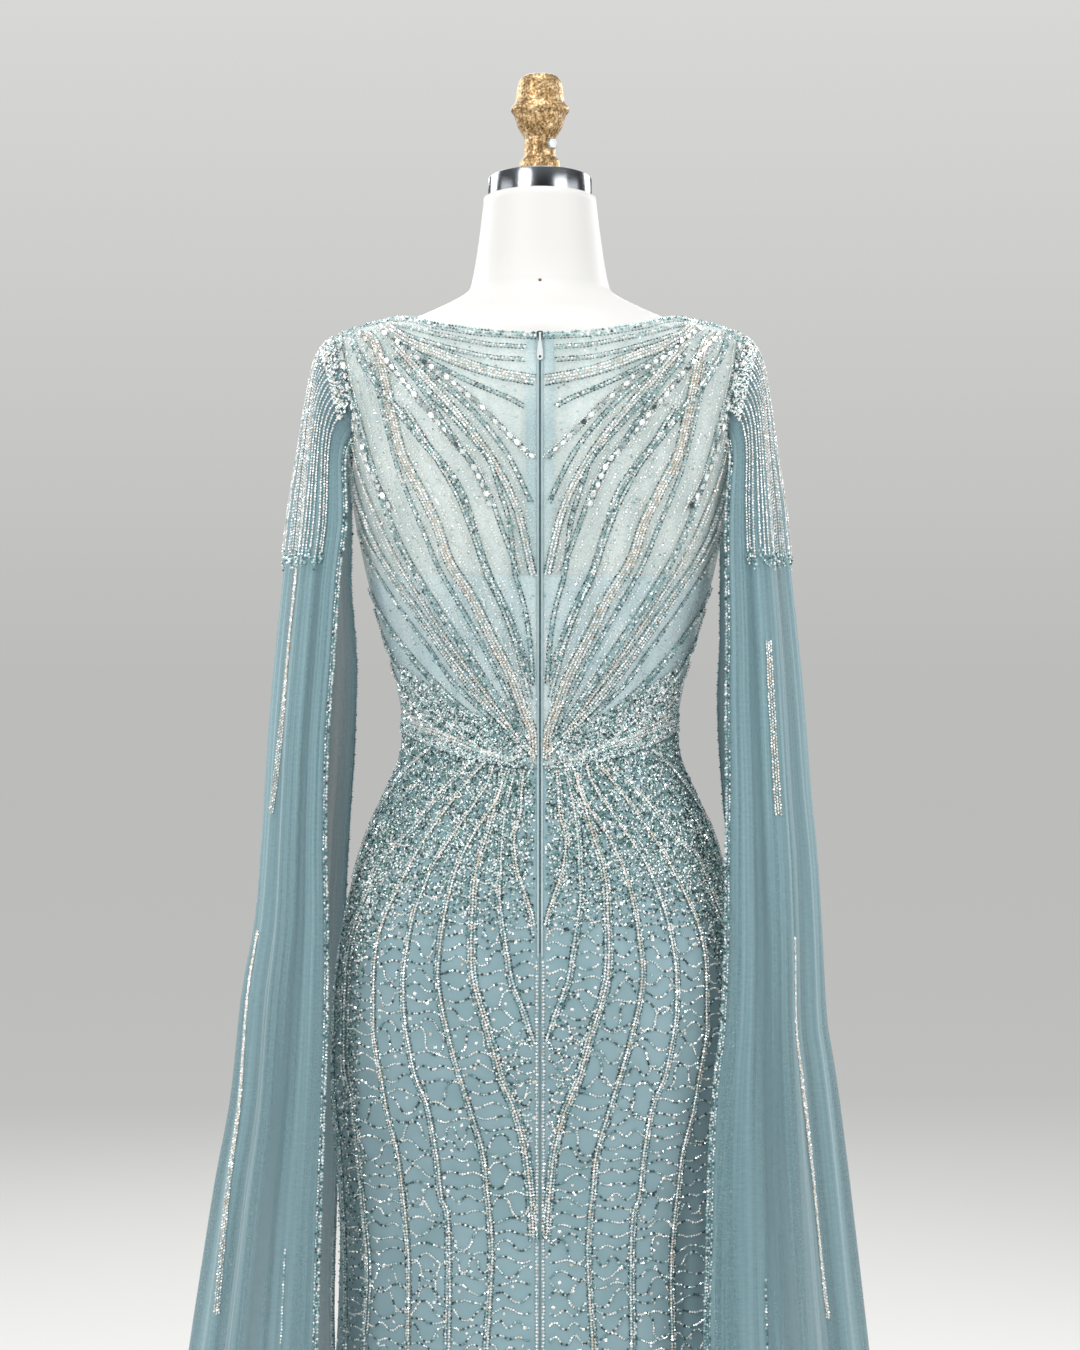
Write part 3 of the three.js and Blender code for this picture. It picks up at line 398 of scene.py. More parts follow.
def linear(hex_colour):
    """An sRGB hex colour as linear values with full opacity."""
    values = np.array([int(hex_colour[i : i + 2], 16) for i in (1, 3, 5)]) / 255
    low, high = values / 12.92, ((values + 0.055) / 1.055) ** 2.4
    return (*(float(v) for v in np.where(values <= 0.04045, low, high)), 1.0)


def signed_volume(points, faces):
    """Six times the volume that faces enclose: positive where they look outward."""
    a, b, c = (points[faces[:, k]] for k in range(3))
    volume = np.einsum("ij,ij->i", a, np.cross(b, c)).sum()
    if faces.shape[1] == 4:
        d = points[faces[:, 3]]
        volume += np.einsum("ij,ij->i", a, np.cross(c, d)).sum()
    return volume


def new_piece(name, points, faces, material, replaces=(), smooth=True, values=None, uv=None):
    """A mesh in metres from points in millimetres and a list of face arrays, riding on the gown."""
    faces = [f for f in faces if len(f)]
    if sum(signed_volume(points, f) for f in faces) < 0:
        faces = [f[:, ::-1] for f in faces]
    mesh = bpy.data.meshes.new(name)
    mesh.vertices.add(len(points))
    mesh.vertices.foreach_set("co", (points / 1000).astype(np.float32).ravel())
    sizes = np.concatenate([np.full(len(f), f.shape[1]) for f in faces])
    corners = np.concatenate([f.ravel() for f in faces]).astype(np.int32)
    mesh.loops.add(len(corners))
    mesh.loops.foreach_set("vertex_index", corners)
    mesh.polygons.add(len(sizes))
    mesh.polygons.foreach_set("loop_start", np.concatenate(([0], np.cumsum(sizes)[:-1])).astype(np.int32))
    mesh.update(calc_edges=True)
    mesh.validate()
    mesh.polygons.foreach_set("use_smooth", np.full(len(mesh.polygons), smooth))
    if values is not None:
        mesh.attributes.new("tone", "FLOAT", "POINT").data.foreach_set("value", values.astype(np.float32))
    if uv is not None:
        mesh.uv_layers.new(name="UVMap").data.foreach_set("uv", uv[corners].astype(np.float32).ravel())
    mesh.update()
    piece = bpy.data.objects.new(name, mesh)
    bpy.context.scene.collection.objects.link(piece)
    mesh.materials.append(material)
    if replaces:
        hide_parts(*replaces)
    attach(piece, "root")
    return piece


def grid_faces(rows, columns, start=0, around=False):
    """Four-cornered faces of a grid of points, closed round if asked."""
    j, i = np.meshgrid(np.arange(rows - 1), np.arange(columns - (0 if around else 1)), indexing="ij")
    after = (i + 1) % columns
    quad = (j * columns + i, j * columns + after, (j + 1) * columns + after, (j + 1) * columns + i)
    return np.stack(quad, axis=-1).reshape(-1, 4) + start


def cloth(points, outward, thick):
    """Closed thin shell of a grid: its points moved both ways along the outward directions, and a rim."""
    rows, columns = points.shape[:2]
    layer = rows * columns
    both = np.concatenate([(points + outward * half).reshape(-1, 3) for half in (thick / 2, -thick / 2)])
    index = np.arange(layer).reshape(rows, columns)
    rim = np.concatenate((index[0, :-1], index[:-1, -1], index[-1, :0:-1], index[:0:-1, 0]))
    after = np.roll(rim, -1)
    faces = [
        grid_faces(rows, columns),
        grid_faces(rows, columns, layer)[:, ::-1],
        np.stack((rim, rim + layer, after + layer, after), axis=-1),
    ]
    return both, faces


def rings(points, low, high):
    """A closed skin over stacked rings of points, with a fan at each end round a point on the z axis."""
    rows, around = points.shape[:2]
    count = rows * around
    first = np.arange(around)
    last = first + count - around
    fans = [
        np.stack((np.full(around, count), np.roll(first, -1), first), axis=-1),
        np.stack((np.full(around, count + 1), last, np.roll(last, -1)), axis=-1),
    ]
    ends = [[0, 0, low], [0, 0, high]]
    return np.concatenate((points.reshape(-1, 3), ends)), [grid_faces(rows, around, around=True), *fans]


def turned(profile, around):
    """A closed profile of radius and height, turned round an upright axis; its ends lie on the axis."""
    profile = np.array(profile, float)
    turn = np.linspace(0, 2 * np.pi, around, endpoint=False)
    ring = profile[1:-1, :1] * np.ones(around)
    points = xyz(ring * np.cos(turn), ring * np.sin(turn), profile[1:-1, 1:])
    return rings(points, profile[0, 1], profile[-1, 1])


def eased(profile, radius):
    """A profile with each inner corner rounded by a short quadratic curve of three steps."""
    profile = np.array(profile, float)
    out = [profile[0]]
    for before, corner, after in zip(profile[:-2], profile[1:-1], profile[2:]):
        reach = [min(radius, np.linalg.norm(end - corner) / 2.2) for end in (before, after)]
        start, end = (
            corner + (far - corner) / max(np.linalg.norm(far - corner), 1e-9) * length
            for far, length in zip((before, after), reach)
        )
        for t in np.linspace(0, 1, 4):
            out.append((1 - t) ** 2 * start + 2 * t * (1 - t) * corner + t * t * end)
    out.append(profile[-1])
    return np.array(out)


# Materials


def add_node(tree, kind, inputs=None, **settings):
    """Adds a node with its settings; an input is given a value, or linked if it is another node's output."""
    node = tree.nodes.new(kind)
    for name, value in settings.items():
        setattr(node, name, value)
    for name, value in (inputs or {}).items():
        if isinstance(value, bpy.types.NodeSocket):
            tree.links.new(value, node.inputs[name])
        else:
            node.inputs[name].default_value = value
    return node


def new_material(name):
    material = bpy.data.materials.new(name)
    material.use_nodes = True
    material.node_tree.nodes.clear()
    return material, material.node_tree


def colours(tree, factor, stops):
    """A ramp from a factor through hex colours at given places."""
    ramp = add_node(tree, "ShaderNodeValToRGB", {"Fac": factor})
    elements = ramp.color_ramp.elements
    while len(elements) < len(stops):
        elements.new(0.5)
    for element, (place, colour) in zip(elements, stops):
        element.position, element.color = place, linear(colour)
    return ramp.outputs["Color"]


def finish_material(tree, inputs):
    shader = add_node(tree, "ShaderNodeBsdfPrincipled", inputs)
    add_node(tree, "ShaderNodeOutputMaterial", {"Surface": shader.outputs["BSDF"]})


def noise(tree, vector, size_mm, detail=3.0, roughness=0.5):
    """Noise whose grains are about that many millimetres across."""
    return add_node(
        tree, "ShaderNodeTexNoise",
        {"Vector": vector, "Scale": 1000.0 / size_mm, "Detail": detail, "Roughness": roughness},
    ).outputs["Fac"]


def weighted(tree, value, weight, more):
    """A value times its weight, and another added to it."""
    return add_node(
        tree, "ShaderNodeMath", {0: value, 1: weight, 2: more}, operation="MULTIPLY_ADD"
    ).outputs[0]


def place(tree):
    return add_node(tree, "ShaderNodeTexCoord").outputs["Object"]


def stretched(tree, vector, scale):
    return add_node(tree, "ShaderNodeMapping", {"Vector": vector, "Scale": scale}).outputs["Vector"]


def bump(tree, height, depth_mm, strength):
    return add_node(
        tree, "ShaderNodeBump", {"Height": height, "Strength": strength, "Distance": depth_mm / 1000}
    ).outputs["Normal"]


def tulle(name, dark, pale, low, high, grain):
    """Nylon tulle, a soft hexagonal net about 1 mm across, too fine to show: its thread lines are drawn as
    a grain twice as coarse, which thins and thickens the cloth. Dull, with a faint sheen on its threads."""
    material, tree = new_material(name)
    where = place(tree)
    net = noise(tree, stretched(tree, where, (1.0, 1.0, grain)), 2.4, 2.0)
    cloud = noise(tree, stretched(tree, where, (1.0, 1.0, 0.25)), 26.0, 2.0)
    mixed = add_node(tree, "ShaderNodeMath", {0: net, 1: cloud}, operation="ADD").outputs[0]
    cover = add_node(
        tree, "ShaderNodeMapRange",
        {"Value": mixed, "From Min": 0.7, "From Max": 1.3, "To Min": low, "To Max": high},
    ).outputs["Result"]
    finish_material(tree, {
        "Base Color": colours(tree, cloud, [(0.35, dark), (0.65, pale)]),
        "Alpha": cover,
        "Roughness": 0.75,
        "Sheen Weight": 0.25,
        "Sheen Roughness": 0.5,
        "Normal": bump(tree, net, 0.15, 0.4),
    })
    return material


def hanging_tulle(name, stops, low, high):
    """Nylon tulle that hangs in one or more layers: the soft streaks of its pleats run down the cloth, and
    its net, a hexagon of about 1 mm, is drawn as level threads 2 mm apart. UV runs across and down it."""
    material, tree = new_material(name)
    cloth_place = add_node(tree, "ShaderNodeTexCoord").outputs["UV"]
    streaks = noise(tree, stretched(tree, cloth_place, (1.0, 0.012, 1.0)), 9.0, 3.0, 0.6)
    bands = noise(tree, stretched(tree, cloth_place, (1.0, 0.03, 1.0)), 38.0, 2.0)
    net = noise(tree, stretched(tree, cloth_place, (0.25, 1.0, 1.0)), 2.4, 1.0)
    soft = add_node(tree, "ShaderNodeMath", {0: bands, 1: 0.55}, operation="MULTIPLY").outputs[0]
    half = weighted(tree, streaks, 0.3, soft)
    full = weighted(tree, net, 0.06, half)
    cover = add_node(
        tree, "ShaderNodeMapRange",
        {"Value": full, "From Min": 0.36, "From Max": 0.56, "To Min": low, "To Max": high},
    ).outputs["Result"]
    finish_material(tree, {
        "Base Color": colours(tree, full, stops),
        "Alpha": cover,
        "Roughness": 0.7,
        "Sheen Weight": 0.3,
        "Sheen Roughness": 0.4,
        "Normal": bump(tree, streaks, 1.2, 0.5),
    })
    return material


def woven(name, dark, pale, thread_mm, roughness, sheen):
    """Closely woven cloth: a fine level grain of its threads, drawn about twice as coarse as they are."""
    material, tree = new_material(name)
    where = place(tree)
    grain = noise(tree, stretched(tree, where, (0.35, 0.35, 1.0)), thread_mm, 2.0)
    cloud = noise(tree, where, 34.0, 2.0)
    finish_material(tree, {
        "Base Color": colours(tree, cloud, [(0.3, dark), (0.7, pale)]),
        "Roughness": roughness,
        "Sheen Weight": sheen,
        "Normal": bump(tree, grain, 0.08, 0.5),
    })
    return material


def glass_beads(name, stops, metallic, roughness):
    """Cut glass beads: each bead's own tone picks its colour, from painted dark reflections at the lowest
    tones, through the beads' own aqua, warm and silver colours, to painted white highlights at the top.
    """
    material, tree = new_material(name)
    tone = add_node(tree, "ShaderNodeAttribute", attribute_name="tone").outputs["Fac"]
    finish_material(tree, {
        "Base Color": colours(tree, tone, stops),
        "Metallic": metallic,
        "Roughness": roughness,
        "IOR": 1.52,
        "Coat Weight": 0.6,
        "Coat Roughness": 0.05,
    })
    return material


def plain(name, colour, roughness, metallic=0.0, grain_mm=0.0, depth_mm=0.0, stretch=(1, 1, 1), coat=0.0):
    """One colour, with a fine grain of its surface."""
    material, tree = new_material(name)
    inputs = {"Base Color": linear(colour), "Roughness": roughness, "Metallic": metallic}
    if coat:
        inputs["Coat Weight"] = coat
    if grain_mm:
        grain = noise(tree, stretched(tree, place(tree), stretch), grain_mm)
        inputs["Normal"] = bump(tree, grain, depth_mm, 0.6)
    finish_material(tree, inputs)
    return material


def gilt_casting():
    """Zinc casting with gold-bronze paint: rough sand-like skin about 1.5 mm a grain, dark in its pits as
    painted shade and near white on its crests as painted highlight."""
    material, tree = new_material("gilt painted casting")
    where = place(tree)
    grain = noise(tree, where, 2.2, 4.0, 0.65)
    patch = noise(tree, where, 9.0, 2.0)
    # Painted shade in the pits and a painted highlight on the crests, following the grain's height.
    skin = weighted(tree, patch, 0.25, weighted(tree, grain, 0.75, 0.0))
    finish_material(tree, {
        "Base Color": colours(
            tree, skin,
            [(0.38, "#553F29"), (0.46, "#94754B"), (0.54, "#C29F6D"), (0.63, "#FBE7C2")],
        ),
        "Metallic": 0.6,
        "Roughness": 0.42,
        "Normal": bump(tree, grain, 0.5, 0.8),
    })
    return material


# Colours by tone: the darkest stops are painted dark reflections and the pure white stop a painted highlight,
# the glints and sparkle of the glass; the stops between are the beads' own colours.
BEAD_STOPS = [
    (0.0, "#2A3739"), (0.15, "#53767A"), (0.32, "#80A7A8"), (0.5, "#A8C9CA"), (0.66, "#D0E0E1"),
    (0.78, "#DFCFBA"), (0.88, "#EEEBE5"), (1.0, "#FFFFFF"),
]
GREEN_STOPS = [
    (0.0, "#253735"), (0.2, "#4A6D68"), (0.45, "#739B93"), (0.7, "#A2C5BB"), (0.9, "#D6E5DD"),
    (1.0, "#FFFFFF"),
]
STONE_STOPS = [
    (0.0, "#20292B"), (0.35, "#58666A"), (0.6, "#A9B4B5"), (0.85, "#E4E9E7"), (1.0, "#FFFFFF"),
]

made = {}


def material_of(name):
    """Each finish, made once when it is first asked for."""
    makers = {
        "sheer": lambda: tulle("soft beading tulle", "#D2E4E2", "#E9F5F3", 0.26, 0.42, 1.6),
        "sleeve": lambda: hanging_tulle(
            "plain sleeve tulle", [(0.36, "#5F8189"), (0.5, "#7FA1A9"), (0.64, "#A6C2C8")], 0.42, 0.72
        ),
        "satin": lambda: woven("dull satin lining", "#A0BACA", "#ADC6D5", 0.7, 0.55, 0.3),
        "skirt": lambda: woven("tulle over lining", "#77949B", "#849FA7", 1.2, 0.72, 0.35),
        "tape": lambda: woven("plain zip strip", "#7099AB", "#80A9B9", 0.8, 0.7, 0.2),
        "welt": lambda: woven("folded zip edge", "#8DA5A9", "#A3B8BB", 0.6, 0.6, 0.2),
        "coil": lambda: plain("nylon zip coil", "#35474F", 0.45, 0.0, 1.3, 0.4, (0.1, 0.1, 1.0)),
        "beads": lambda: glass_beads("silver-lined seed beads", BEAD_STOPS, 0.35, 0.14),
        "green": lambda: glass_beads("green-lined seed beads", GREEN_STOPS, 0.35, 0.14),
        "stones": lambda: glass_beads("foiled glass stones", STONE_STOPS, 0.35, 0.08),
        # Fibreglass torso, sanded and sprayed matt white: even, with a very faint orange peel
        "form": lambda: plain("matt white fibreglass", "#D4D3D1", 0.55, 0.0, 3.0, 0.05),
        # Turned steel collar with level tool lines 0.3 mm apart, drawn at 0.8 mm
        "steel": lambda: plain("brushed steel", "#92969B", 0.2, 1.0, 0.8, 0.06, (0.06, 0.06, 1.0)),
        "zinc": lambda: plain("bright zinc plate", "#C9CDCC", 0.3, 1.0, 1.0, 0.05),
        # The pull tab's silver shine is a painted highlight in its pale colour, and the slider's dark colour
        # is its dark metal with painted shade.
        "bright": lambda: plain("pale tab with painted highlight", "#E6ECED", 0.2, 0.35),
        "slider": lambda: plain("dark zinc with painted shade", "#4B5A60", 0.3, 0.8),
        "paint": lambda: plain("satin white stove enamel", "#E4E3E0", 0.38, 0.0, 1.5, 0.03, coat=0.3),
        "brown": lambda: plain("dark wooden plug", "#6B4A2C", 0.6),
        "gilt": gilt_casting,
    }
    if name not in made:
        made[name] = makers[name]()
    return made[name]


# Beads

# A bead sewn flat: four facets over a square back
FACETED = np.array([(0.5, 0, -0.15), (0, 0.5, -0.15), (-0.5, 0, -0.15), (0, -0.5, -0.15), (0, 0, 0.5)])
FACETED_FACES = np.array([(0, 1, 4), (1, 2, 4), (2, 3, 4), (3, 0, 4), (0, 3, 2), (0, 2, 1)])
# A bead that hangs free: eight facets
OCTAHEDRON = np.array([(1, 0, 0), (-1, 0, 0), (0, 1, 0), (0, -1, 0), (0, 0, 1), (0, 0, -1)], float) / 2
OCTAHEDRON_FACES = np.array([
    (0, 2, 4), (2, 1, 4), (1, 3, 4), (3, 0, 4), (2, 0, 5), (1, 2, 5), (3, 1, 5), (0, 3, 5),
])
STONE_RIM = np.array([(0.5, 0), (0.2, 0.3), (-0.2, 0.3), (-0.5, 0), (-0.2, -0.3), (0.2, -0.3)])
# A marquise stone: eight facets that rise from the rim to a short ridge
STONE = np.vstack((np.column_stack((STONE_RIM, np.full(6, -0.2))), [(0.22, 0, 0.4), (-0.22, 0, 0.4)]))
STONE_FACES = np.array([
    (0, 1, 6), (1, 7, 6), (1, 2, 7), (2, 3, 7), (3, 4, 7), (4, 6, 7), (4, 5, 6), (5, 0, 6),
    (0, 2, 1), (0, 3, 2), (0, 4, 3), (0, 5, 4),
])


class Tray:
    """Beads of one shape, collected row by row and joined into one mesh."""

    def __init__(self, shape=FACETED, faces=FACETED_FACES):
        self.shape, self.faces = shape, faces
        self.parts = []

    def add(self, points, along, outward, size, tone):
        """Points, two directions each, sizes (length, width, height) and tones, as arrays of equal length."""
        if len(points):
            self.parts.append((points, along, outward, size, tone))

    def meshed(self):
        points, along, outward, size, tone = (np.concatenate(column) for column in zip(*self.parts))
        across = np.cross(outward, along)
        turn = np.stack((along, across, outward), axis=1) * size[..., None]
        corners = points[:, None] + np.einsum("vk,nkc->nvc", self.shape, turn)
        faces = self.faces[None] + (np.arange(len(points)) * len(self.shape))[:, None, None]
        return corners.reshape(-1, 3), [faces.reshape(-1, 3)], np.repeat(tone, len(self.shape))

    def sewn(self, name, finish, replaces=()):
        """The tray's beads as one piece."""
        points, faces, tone = self.meshed()
        new_piece(name, points, faces, material_of(finish), replaces, smooth=False,
                  values=tone)


# Tones of a row of beads: each is a tone and its share of the row. The darkest tones paint dark reflections
# and tone 1.0 white highlights on the glass; the dark tones of STRING also paint the shadow under its
# strings, and SHADE is all painted shadow that beads cast on the cloth.
AQUA = ((0.5, 0.26), (0.32, 0.22), (0.66, 0.24), (0.12, 0.1), (1.0, 0.18))
PALE = ((0.66, 0.3), (0.5, 0.14), (0.88, 0.24), (1.0, 0.32))
WARM = ((0.78, 0.34), (0.88, 0.26), (0.5, 0.04), (1.0, 0.36))
SILVER = ((0.88, 0.28), (1.0, 0.5), (0.6, 0.14), (0.78, 0.08))
MIXED = ((0.5, 0.2), (0.32, 0.13), (0.12, 0.13), (0.66, 0.16), (1.0, 0.3), (0.0, 0.08))
DEEP = ((0.2, 0.22), (0.45, 0.24), (0.0, 0.12), (0.7, 0.16), (1.0, 0.26))
STRING = ((0.66, 0.28), (0.88, 0.16), (1.0, 0.2), (0.32, 0.16), (0.05, 0.2))
SOFT = ((0.66, 0.25), (0.88, 0.35), (1.0, 0.4))
SHADE = ((0.0, 0.25), (0.12, 0.35), (0.28, 0.4))
STONES = ((0.85, 0.35), (1.0, 0.4), (0.6, 0.2), (0.2, 0.05))


def picked(rng, tones, count):
    """Tones drawn by their shares, each a little off."""
    values, shares = np.array(tones).T
    return rng.choice(values, size=count, p=shares / shares.sum()) + rng.normal(0, 0.03, count)


def smoothed(points):
    """A Catmull-Rom curve through control points, with 14 samples in each span."""
    points = np.array(points, float)
    ends = np.vstack((2 * points[0] - points[1], points, 2 * points[-1] - points[-2]))
    before, start, end, after = (ends[k : len(ends) - 3 + k, None] for k in range(4))
    t = np.linspace(0, 1, 14, endpoint=False)[None, :, None]
    curve = 0.5 * (
        2 * start + (end - before) * t + (2 * before - 5 * start + 4 * end - after) * t**2
        + (3 * start - before - 3 * end + after) * t**3
    )
    return np.vstack((curve.reshape(-1, points.shape[1]), points[-1:]))


def columns_at(at, known, table):
    """Each column of a table, interpolated at new places."""
    return np.column_stack([np.interp(at, known, table[:, k]) for k in range(table.shape[1])])


def blended(first, second, share):
    """A path that runs between two others, at a share of the way from the first to the second."""
    pair = [
        columns_at(np.linspace(0, len(points) - 1, 120), np.arange(len(points)), points)
        for points in (first, second)
    ]
    return pair[0] * (1 - share) + pair[1] * share


def stitched(locate, path, spacing, shift):
    """Evenly spaced places along a path on a surface: points, forward, sideways and outward directions, and
    the path's own values there. `locate` gives points and outward directions for the path's two values."""
    points, outward = locate(path[:, 0], path[:, 1])
    steps = np.linalg.norm(np.diff(points, axis=0), axis=1)
    length = np.concatenate(([0], np.cumsum(steps)))
    at = np.arange(spacing * (0.5 + shift), length[-1], spacing)
    value, point, out = (columns_at(at, length, table) for table in (path, points, outward))
    out /= np.linalg.norm(out, axis=1, keepdims=True)
    along = columns_at(at + 0.8, length, points) - columns_at(at - 0.8, length, points)
    along -= out * np.einsum("ij,ij->i", along, out)[:, None]
    along /= np.maximum(np.linalg.norm(along, axis=1, keepdims=True), 1e-9)
    return point, along, np.cross(out, along), out, value


def tilted(rng, along, out, tilt):
    """Both directions of a bead turned a little at random, and square to each other again."""
    out = out + rng.normal(0, tilt, out.shape)
    out /= np.linalg.norm(out, axis=1, keepdims=True)
    along = along - out * np.einsum("ij,ij->i", along, out)[:, None]
    return along / np.linalg.norm(along, axis=1, keepdims=True), out


def bead_line(tray, locate, path, rng, tones, rows, size, pitch, spacing, keep=None, wobble=0.22,
              lift=0.0, fade=0.0, tilt=0.2):
    """Rows of beads sewn side by side along a path, each with a small scatter of place, size and tone.
    `pitch` is from row to row, `spacing` from bead to bead, and `fade` is the share of beads left out."""
    for row in range(rows):
        offset = (row - (rows - 1) / 2) * pitch
        point, along, sideways, out, value = stitched(locate, path, spacing, (row % 2) * 0.5)
        if not len(point):
            continue
        count = len(point)
        point = point + sideways * (offset + rng.normal(0, wobble, count))[:, None]
        point = point + out * (size[2] / 2 + lift)
        kept = rng.random(count) >= fade
        if keep is not None:
            kept &= keep(point, value)
        scale = rng.normal(1, 0.09, (count, 1)).clip(0.75, 1.25)
        along, out = tilted(rng, along, out, tilt)
        tray.add(point[kept], along[kept], out[kept], (np.array(size) * scale)[kept],
                 picked(rng, tones, count)[kept])


def painted_shadow_rows(tray, locate, path, rng, keep, half):
    """Two thin dark rows, each at half the width of the bright rows: painted shadow that the bright rows cast
    on the cloth, which sets them off from it.
    """
    bead_line(tray, locate, path, rng, SHADE, 2, (2.9, 1.5, 0.9), 2 * half, 3.0, keep, 0.1)


def rope(tray, locate, path, rng, tones, rows, size, keep):
    """Bright rows sewn side by side, between two thin dark rows of painted shadow."""
    bead_line(tray, locate, path, rng, tones, rows, (size * 1.25, size * 1.15, size), size * 1.12,
              size * 1.1, keep, 0.12, 0.6, tilt=0.24)
    painted_shadow_rows(tray, locate, path, rng, keep, rows * size * 0.56 + 0.5)


def scattered(tray, locate, places, rng, tones, size, tilt=0.25, keep=None):
    """Single beads at given places, turned at random and tilted a little."""
    if not len(places):
        return
    point, out = locate(places[:, 0], places[:, 1])
    count = len(point)
    out = out + rng.normal(0, tilt, (count, 3))
    out /= np.linalg.norm(out, axis=1, keepdims=True)
    along = np.cross(out, rng.normal(0, 1, (count, 3)))
    along /= np.linalg.norm(along, axis=1, keepdims=True)
    point = point + out * (size[2] / 2)
    kept = np.ones(count, bool) if keep is None else keep(point, places)
    scale = rng.normal(1, 0.12, (count, 1)).clip(0.7, 1.3)
    tray.add(point[kept], along[kept], out[kept], (np.array(size) * scale)[kept],
             picked(rng, tones, count)[kept])


def on_gown(surface, front, side):
    """Locator for paths of x from the middle and height, on the back or the front of one side."""

    def locate(x, z):
        angle = side * (180 - angle_at(x, z, front) if front else angle_at(x, z, front))
        return raised(surface, angle, z, SHELL_OUTER), normals(surface, angle, z)

    return locate


# Bead lines of the bodice, as x from the middle and height: points, rows, tones, size
BODICE_LINES = [
    # neckline band
    ([(168, 1427), (150, 1431), (135, 1433), (112, 1435), (90, 1429), (72, 1426), (50, 1423), (25, 1421),
      (2, 1420)], 2, AQUA, 2.6),
    # shoulder seam and tip
    ([(172, 1421), (155, 1429), (137, 1434), (120, 1438)], 3, AQUA, 2.4),
    # garlands under the neckline
    ([(128, 1432), (95, 1424), (66, 1417), (40, 1412), (12, 1410)], 1, PALE, 2.2),
    ([(126, 1430), (112, 1422), (80, 1411), (45, 1402), (13, 1399)], 1, PALE, 2.2),
    ([(132, 1431), (108, 1415), (84, 1405), (54, 1393), (28, 1386), (4, 1382)], 3, SILVER, 2.4),
    ([(118, 1419), (92, 1399), (58, 1381), (28, 1368), (13, 1360)], 1, AQUA, 2.2),
    # silver and aqua rays below the garlands
    ([(122, 1416), (103, 1394), (67, 1353), (40, 1317), (19, 1275), (6, 1222)], 2, SILVER, 2.3),
    ([(112, 1410), (90, 1388), (67, 1368), (45, 1345), (25, 1317), (7.5, 1281)], 1, AQUA, 2.3),
    ([(120, 1404), (99, 1378), (78, 1345), (58, 1316), (43, 1290), (30, 1256), (18, 1222)], 1, AQUA, 2.2),
    # thick band from the shoulder to the waist point
    ([(146, 1425), (135, 1411), (124, 1366), (114, 1323), (99, 1292), (85, 1263), (75, 1233), (56, 1202),
      (40, 1169), (24, 1137), (14, 1109), (7, 1090), (5, 1066)], 3, WARM, 2.3),
    ([(158, 1426), (150, 1405), (128, 1372), (96, 1332), (67, 1293), (54, 1256), (43, 1222), (30, 1195),
      (19, 1167), (9, 1137)], 2, AQUA, 2.3),
    ([(92, 1372), (66, 1345), (43, 1317), (33, 1290), (25, 1263), (21, 1225), (12.5, 1193), (8, 1162),
      (6, 1130)], 1, AQUA, 2.2),
    ([(112, 1362), (88, 1322), (66, 1282), (52, 1246), (37, 1208), (23, 1172), (14, 1141), (8, 1118)],
     1, PALE, 2.2),
    ([(140, 1400), (128, 1350), (116, 1306), (98, 1262), (84, 1228), (66, 1196), (47, 1162), (31, 1131),
      (17, 1101), (8, 1078)], 1, AQUA, 2.2),
    # rays from the armhole
    ([(168, 1420), (163, 1384), (160, 1339), (155, 1301), (145, 1267), (129, 1234), (103, 1195), (72, 1150),
      (40, 1109), (7, 1072)], 2, PALE, 2.4),
    ([(166, 1400), (152, 1360), (140, 1316), (126, 1272), (110, 1236), (90, 1202), (66, 1165), (44, 1131),
      (22, 1098), (9, 1080)], 2, AQUA, 2.3),
    ([(158, 1344), (149, 1306), (134, 1268), (118, 1234), (96, 1198), (70, 1158), (46, 1124), (24, 1094)],
     1, WARM, 2.2),
    ([(152, 1262), (141, 1234), (113, 1190), (90, 1158), (72, 1132), (48, 1108), (24, 1086), (3, 1067)],
     1, AQUA, 2.2),
    ([(156, 1290), (143, 1250), (124, 1220), (98, 1182), (70, 1142), (50, 1116), (28, 1092)], 1, PALE, 2.2),
    # rays from the side seam
    ([(143, 1212), (130, 1186), (112, 1160), (92, 1136), (70, 1114), (46, 1094), (26, 1078)], 2, AQUA, 2.2),
    ([(140, 1196), (130, 1165), (108, 1130), (81, 1102), (56, 1081), (37, 1068)], 1, PALE, 2.2),
    ([(131, 1172), (121, 1150), (104, 1122), (86, 1100), (66, 1084), (48, 1072)], 1, AQUA, 2.2),
    ([(125, 1150), (118, 1130), (104, 1108), (88, 1094), (72, 1083), (60, 1076)], 1, WARM, 2.2),
    ([(118, 1126), (108, 1110), (92, 1098), (72, 1087), (48, 1075), (26, 1066)], 2, AQUA, 2.2),
    ([(114, 1108), (100, 1099), (80, 1089), (56, 1078), (32, 1068), (14, 1063)], 1, WARM, 2.2),
    ([(115, 1099), (96, 1092), (72, 1083), (46, 1073), (22, 1065)], 2, PALE, 2.2),
    ([(114, 1092), (92, 1086), (66, 1078), (40, 1069), (16, 1063)], 1, AQUA, 2.2),
]
# Pairs of the lines above, with softer rows of small beads between them
SOFT_ROWS = ((7, 6), (6, 8), (8, 12), (12, 9), (10, 9), (9, 13), (13, 15), (15, 14))
# Rows of marquise stones: points and the stone's length
STONE_LINES = [
    ([(135, 1428), (120, 1418), (108, 1406), (78, 1385), (52, 1363), (28, 1339), (6, 1318)], 6.0),
    ([(150, 1426), (138, 1412), (120, 1391), (97, 1363), (73, 1334), (55, 1311), (40, 1278)], 6.0),
    ([(166, 1422), (163, 1400), (157, 1371), (147, 1331), (136, 1301), (122, 1275)], 7.0),
]
